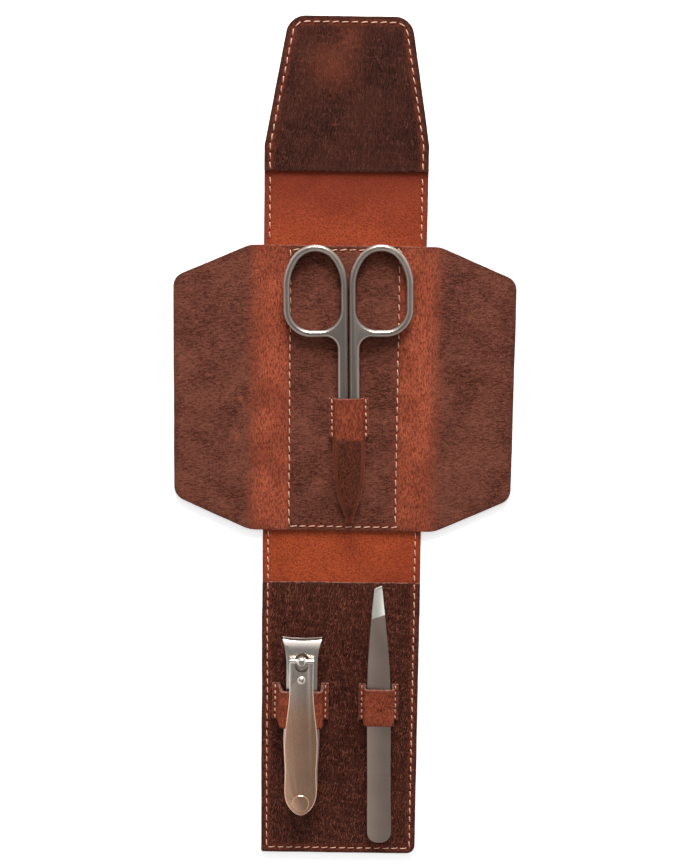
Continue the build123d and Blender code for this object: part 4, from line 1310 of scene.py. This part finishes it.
class CASE_OT_clipper(Operator):
    """Finish the nail clipper"""

    bl_idname = "case.clipper"
    bl_label = "Clipper"

    def execute(self, context):
        settings = context.scene.case_steel
        jaws = steel_material("clipper_steel", settings.jaws)
        pin = FOLDS["clipper_pin_swivel"]
        # Painted reflection: the lever's steel is brown towards its tail and turns to the jaws' grey near the
        # pin.
        lever = steel_material("lever_steel", settings.lever, -0.02, second=settings.jaws,
                               line=(pin.x, pin.y - 22.0, 0.0, 20.0))
        for node in ("clipper_lower_jaw", "clipper_upper_jaw", "clipper_tail_rivet", "clipper_pin"):
            finish_steel(node, jaws)
        finish_steel("clipper_lever", lever)
        return {"FINISHED"}


class CASE_OT_tweezers(Operator):
    """Finish the slanted tweezers"""

    bl_idname = "case.tweezers"
    bl_label = "Tweezers"

    def execute(self, context):
        settings = context.scene.case_steel
        # Beyond the slanted line the tip is painted bright: a painted highlight on its ground facet.
        steel = steel_material("tweezers_steel", settings.tweezers, 0.14, X, second=settings.ground_tip_highlight,
                               line=(9.8, -54.9, 0.364, 0.15))
        for node in ("tweezers_lower_arm", "tweezers_upper_arm"):
            finish_steel(node, steel)
        return {"FINISHED"}


class CASE_OT_magnets(Operator):
    """Finish the two closing magnets inside the leather"""

    bl_idname = "case.magnets"
    bl_label = "Magnets"

    def execute(self, context):
        plated = steel_material("magnet_plating", context.scene.case_steel.plating, -0.1)
        for node in ("flap_magnet", "panel_magnet"):
            piece = frame["nodes"][node]
            piece.data.materials.clear()
            piece.data.materials.append(plated)
        return {"FINISHED"}


# ---- Stage ----


class CASE_OT_stage(Operator):
    """Set the floor, the lamps, the even light and the camera"""

    bl_idname = "case.stage"
    bl_label = "Stage"

    def execute(self, context):
        settings = context.scene.case_stage
        floor_mesh = bpy.data.meshes.new("floor")
        reach = 3.0
        corners = [(-reach, -reach, 0), (reach, -reach, 0), (reach, reach, 0), (-reach, reach, 0)]
        floor_mesh.from_pydata(corners, [], [(0, 1, 2, 3)])
        floor_mesh.materials.append(floor_material(settings))
        floor = bpy.data.objects.new("floor", floor_mesh)
        floor.location.z = -0.00005
        context.scene.collection.objects.link(floor)
        lamp("key", (0.05, 0.95, 0.42), 0.45, settings.key_power)
        lamp("fill", (-0.35, -0.7, 0.6), 0.7, settings.fill_power)
        even_light(settings)
        place_camera(settings)
        context.scene.view_settings.view_transform = "Standard"
        return {"FINISHED"}


def floor_material(settings):
    """Matt and pale: white to the camera and in reflections, with the object's shadow kept."""
    material = bpy.data.materials.new("pale_floor")
    material.use_nodes = True
    tree = material.node_tree
    tree.nodes.clear()
    matt = add_node(tree, "ShaderNodeBsdfDiffuse", {"Color": settings.floor})
    path = tree.nodes.new("ShaderNodeLightPath")
    seen = maths(tree, "MAXIMUM", path.outputs["Is Camera Ray"], path.outputs["Is Glossy Ray"])
    glow = add_node(tree, "ShaderNodeEmission", {"Color": (1, 1, 1, 1),
                                                 "Strength": maths(tree, "MULTIPLY", seen, 0.5)})
    both = add_node(tree, "ShaderNodeAddShader", {0: matt.outputs[0], 1: glow.outputs[0]})
    output = tree.nodes.new("ShaderNodeOutputMaterial")
    tree.links.new(both.outputs[0], output.inputs["Surface"])
    return material


def lamp(name, place, size, power):
    """A square soft lamp that faces the case."""
    light = bpy.data.lights.new(name, "AREA")
    light.size, light.energy = size, power
    holder = bpy.data.objects.new(name, light)
    holder.location = place
    holder.rotation_euler = (-Vector(place)).to_track_quat("-Z", "Y").to_euler()
    bpy.context.scene.collection.objects.link(holder)


WINDOW_WAY = (0.0, math.cos(math.radians(52)), math.sin(math.radians(52)))
WINDOW_SPREAD = (math.cos(math.radians(32)), math.cos(math.radians(14)))


def even_light(settings):
    """Light from all round, brighter near the horizon and in one broad window than overhead."""
    world = bpy.data.worlds.new("even_light")
    bpy.context.scene.world = world
    world.use_nodes = True
    tree = world.node_tree
    tree.nodes.clear()
    around = tree.nodes.new("ShaderNodeTexCoord").outputs["Generated"]
    way = add_node(tree, "ShaderNodeSeparateXYZ", {0: around})
    level = between(tree, way.outputs["Z"], 0.65, 0.1, settings.sky, settings.horizon)
    facing = add_node(tree, "ShaderNodeVectorMath", {0: around, 1: WINDOW_WAY}, operation="DOT_PRODUCT")
    window = between(tree, facing.outputs["Value"], *WINDOW_SPREAD, 0.0, settings.window)
    strength = maths(tree, "ADD", level, window)
    path = tree.nodes.new("ShaderNodeLightPath")
    shown = maths(tree, "MAXIMUM", strength, path.outputs["Is Camera Ray"])
    light = add_node(tree, "ShaderNodeBackground", {"Color": (1, 1, 1, 1), "Strength": shown})
    output = tree.nodes.new("ShaderNodeOutputWorld")
    tree.links.new(light.outputs[0], output.inputs["Surface"])


CAMERA_PLACE = Vector((0.77, 55.93, 396.85)) * MM
CAMERA_TILT = math.radians(7.2)
CAMERA_ROLL = math.radians(0.75)


def place_camera(settings):
    """The photograph's view: nearly straight down, from a little towards the flap."""
    data = bpy.data.cameras.new("camera")
    data.lens = settings.focal_length
    camera = bpy.data.objects.new("camera", data)
    ahead = Vector((0, -math.sin(CAMERA_TILT), -math.cos(CAMERA_TILT)))
    level_up = Vector((0, math.cos(CAMERA_TILT), -math.sin(CAMERA_TILT)))
    right = math.cos(CAMERA_ROLL) * Vector((1, 0, 0)) + math.sin(CAMERA_ROLL) * level_up
    up = -math.sin(CAMERA_ROLL) * Vector((1, 0, 0)) + math.cos(CAMERA_ROLL) * level_up
    turn = Matrix((right, up, -ahead)).transposed()
    camera.matrix_world = Matrix.Translation(CAMERA_PLACE) @ turn.to_4x4()
    data.clip_start, data.clip_end = 0.01, 10
    bpy.context.scene.collection.objects.link(camera)
    bpy.context.scene.camera = camera


# ---- Panel, registration and the run ----

STEPS = (CASE_OT_stage, CASE_OT_outer_leather, CASE_OT_linings, CASE_OT_sheath, CASE_OT_tool_loops,
         CASE_OT_stitching, CASE_OT_scissors, CASE_OT_clipper, CASE_OT_tweezers, CASE_OT_magnets)
SETTINGS = {"case_leather": CaseLeather, "case_thread": CaseThread, "case_steel": CaseSteel,
            "case_stage": CaseStage}


class CASE_PT_case(Panel):
    """Everything that makes the case, in order"""

    bl_idname = "CASE_PT_case"
    bl_label = "Manicure Set Case"
    bl_space_type = "VIEW_3D"
    bl_region_type = "UI"
    bl_category = "Case"

    def draw(self, context):
        for step in STEPS:
            self.layout.operator(step.bl_idname)
        for name in SETTINGS:
            box = self.layout.box()
            group = getattr(context.scene, name)
            for setting in group.__annotations__:
                box.prop(group, setting)


CLASSES = (*SETTINGS.values(), *STEPS, CASE_PT_case)


def register():
    for cls in CLASSES:
        bpy.utils.register_class(cls)
    for name, cls in SETTINGS.items():
        setattr(bpy.types.Scene, name, PointerProperty(type=cls))


def unregister():
    for name in SETTINGS:
        delattr(bpy.types.Scene, name)
    for cls in reversed(CLASSES):
        bpy.utils.unregister_class(cls)


def main():
    """Make every piece in order."""
    register()
    for step in STEPS:
        group, name = step.bl_idname.split(".")
        getattr(getattr(bpy.ops, group), name)()


if __name__ == "__main__":
    main()
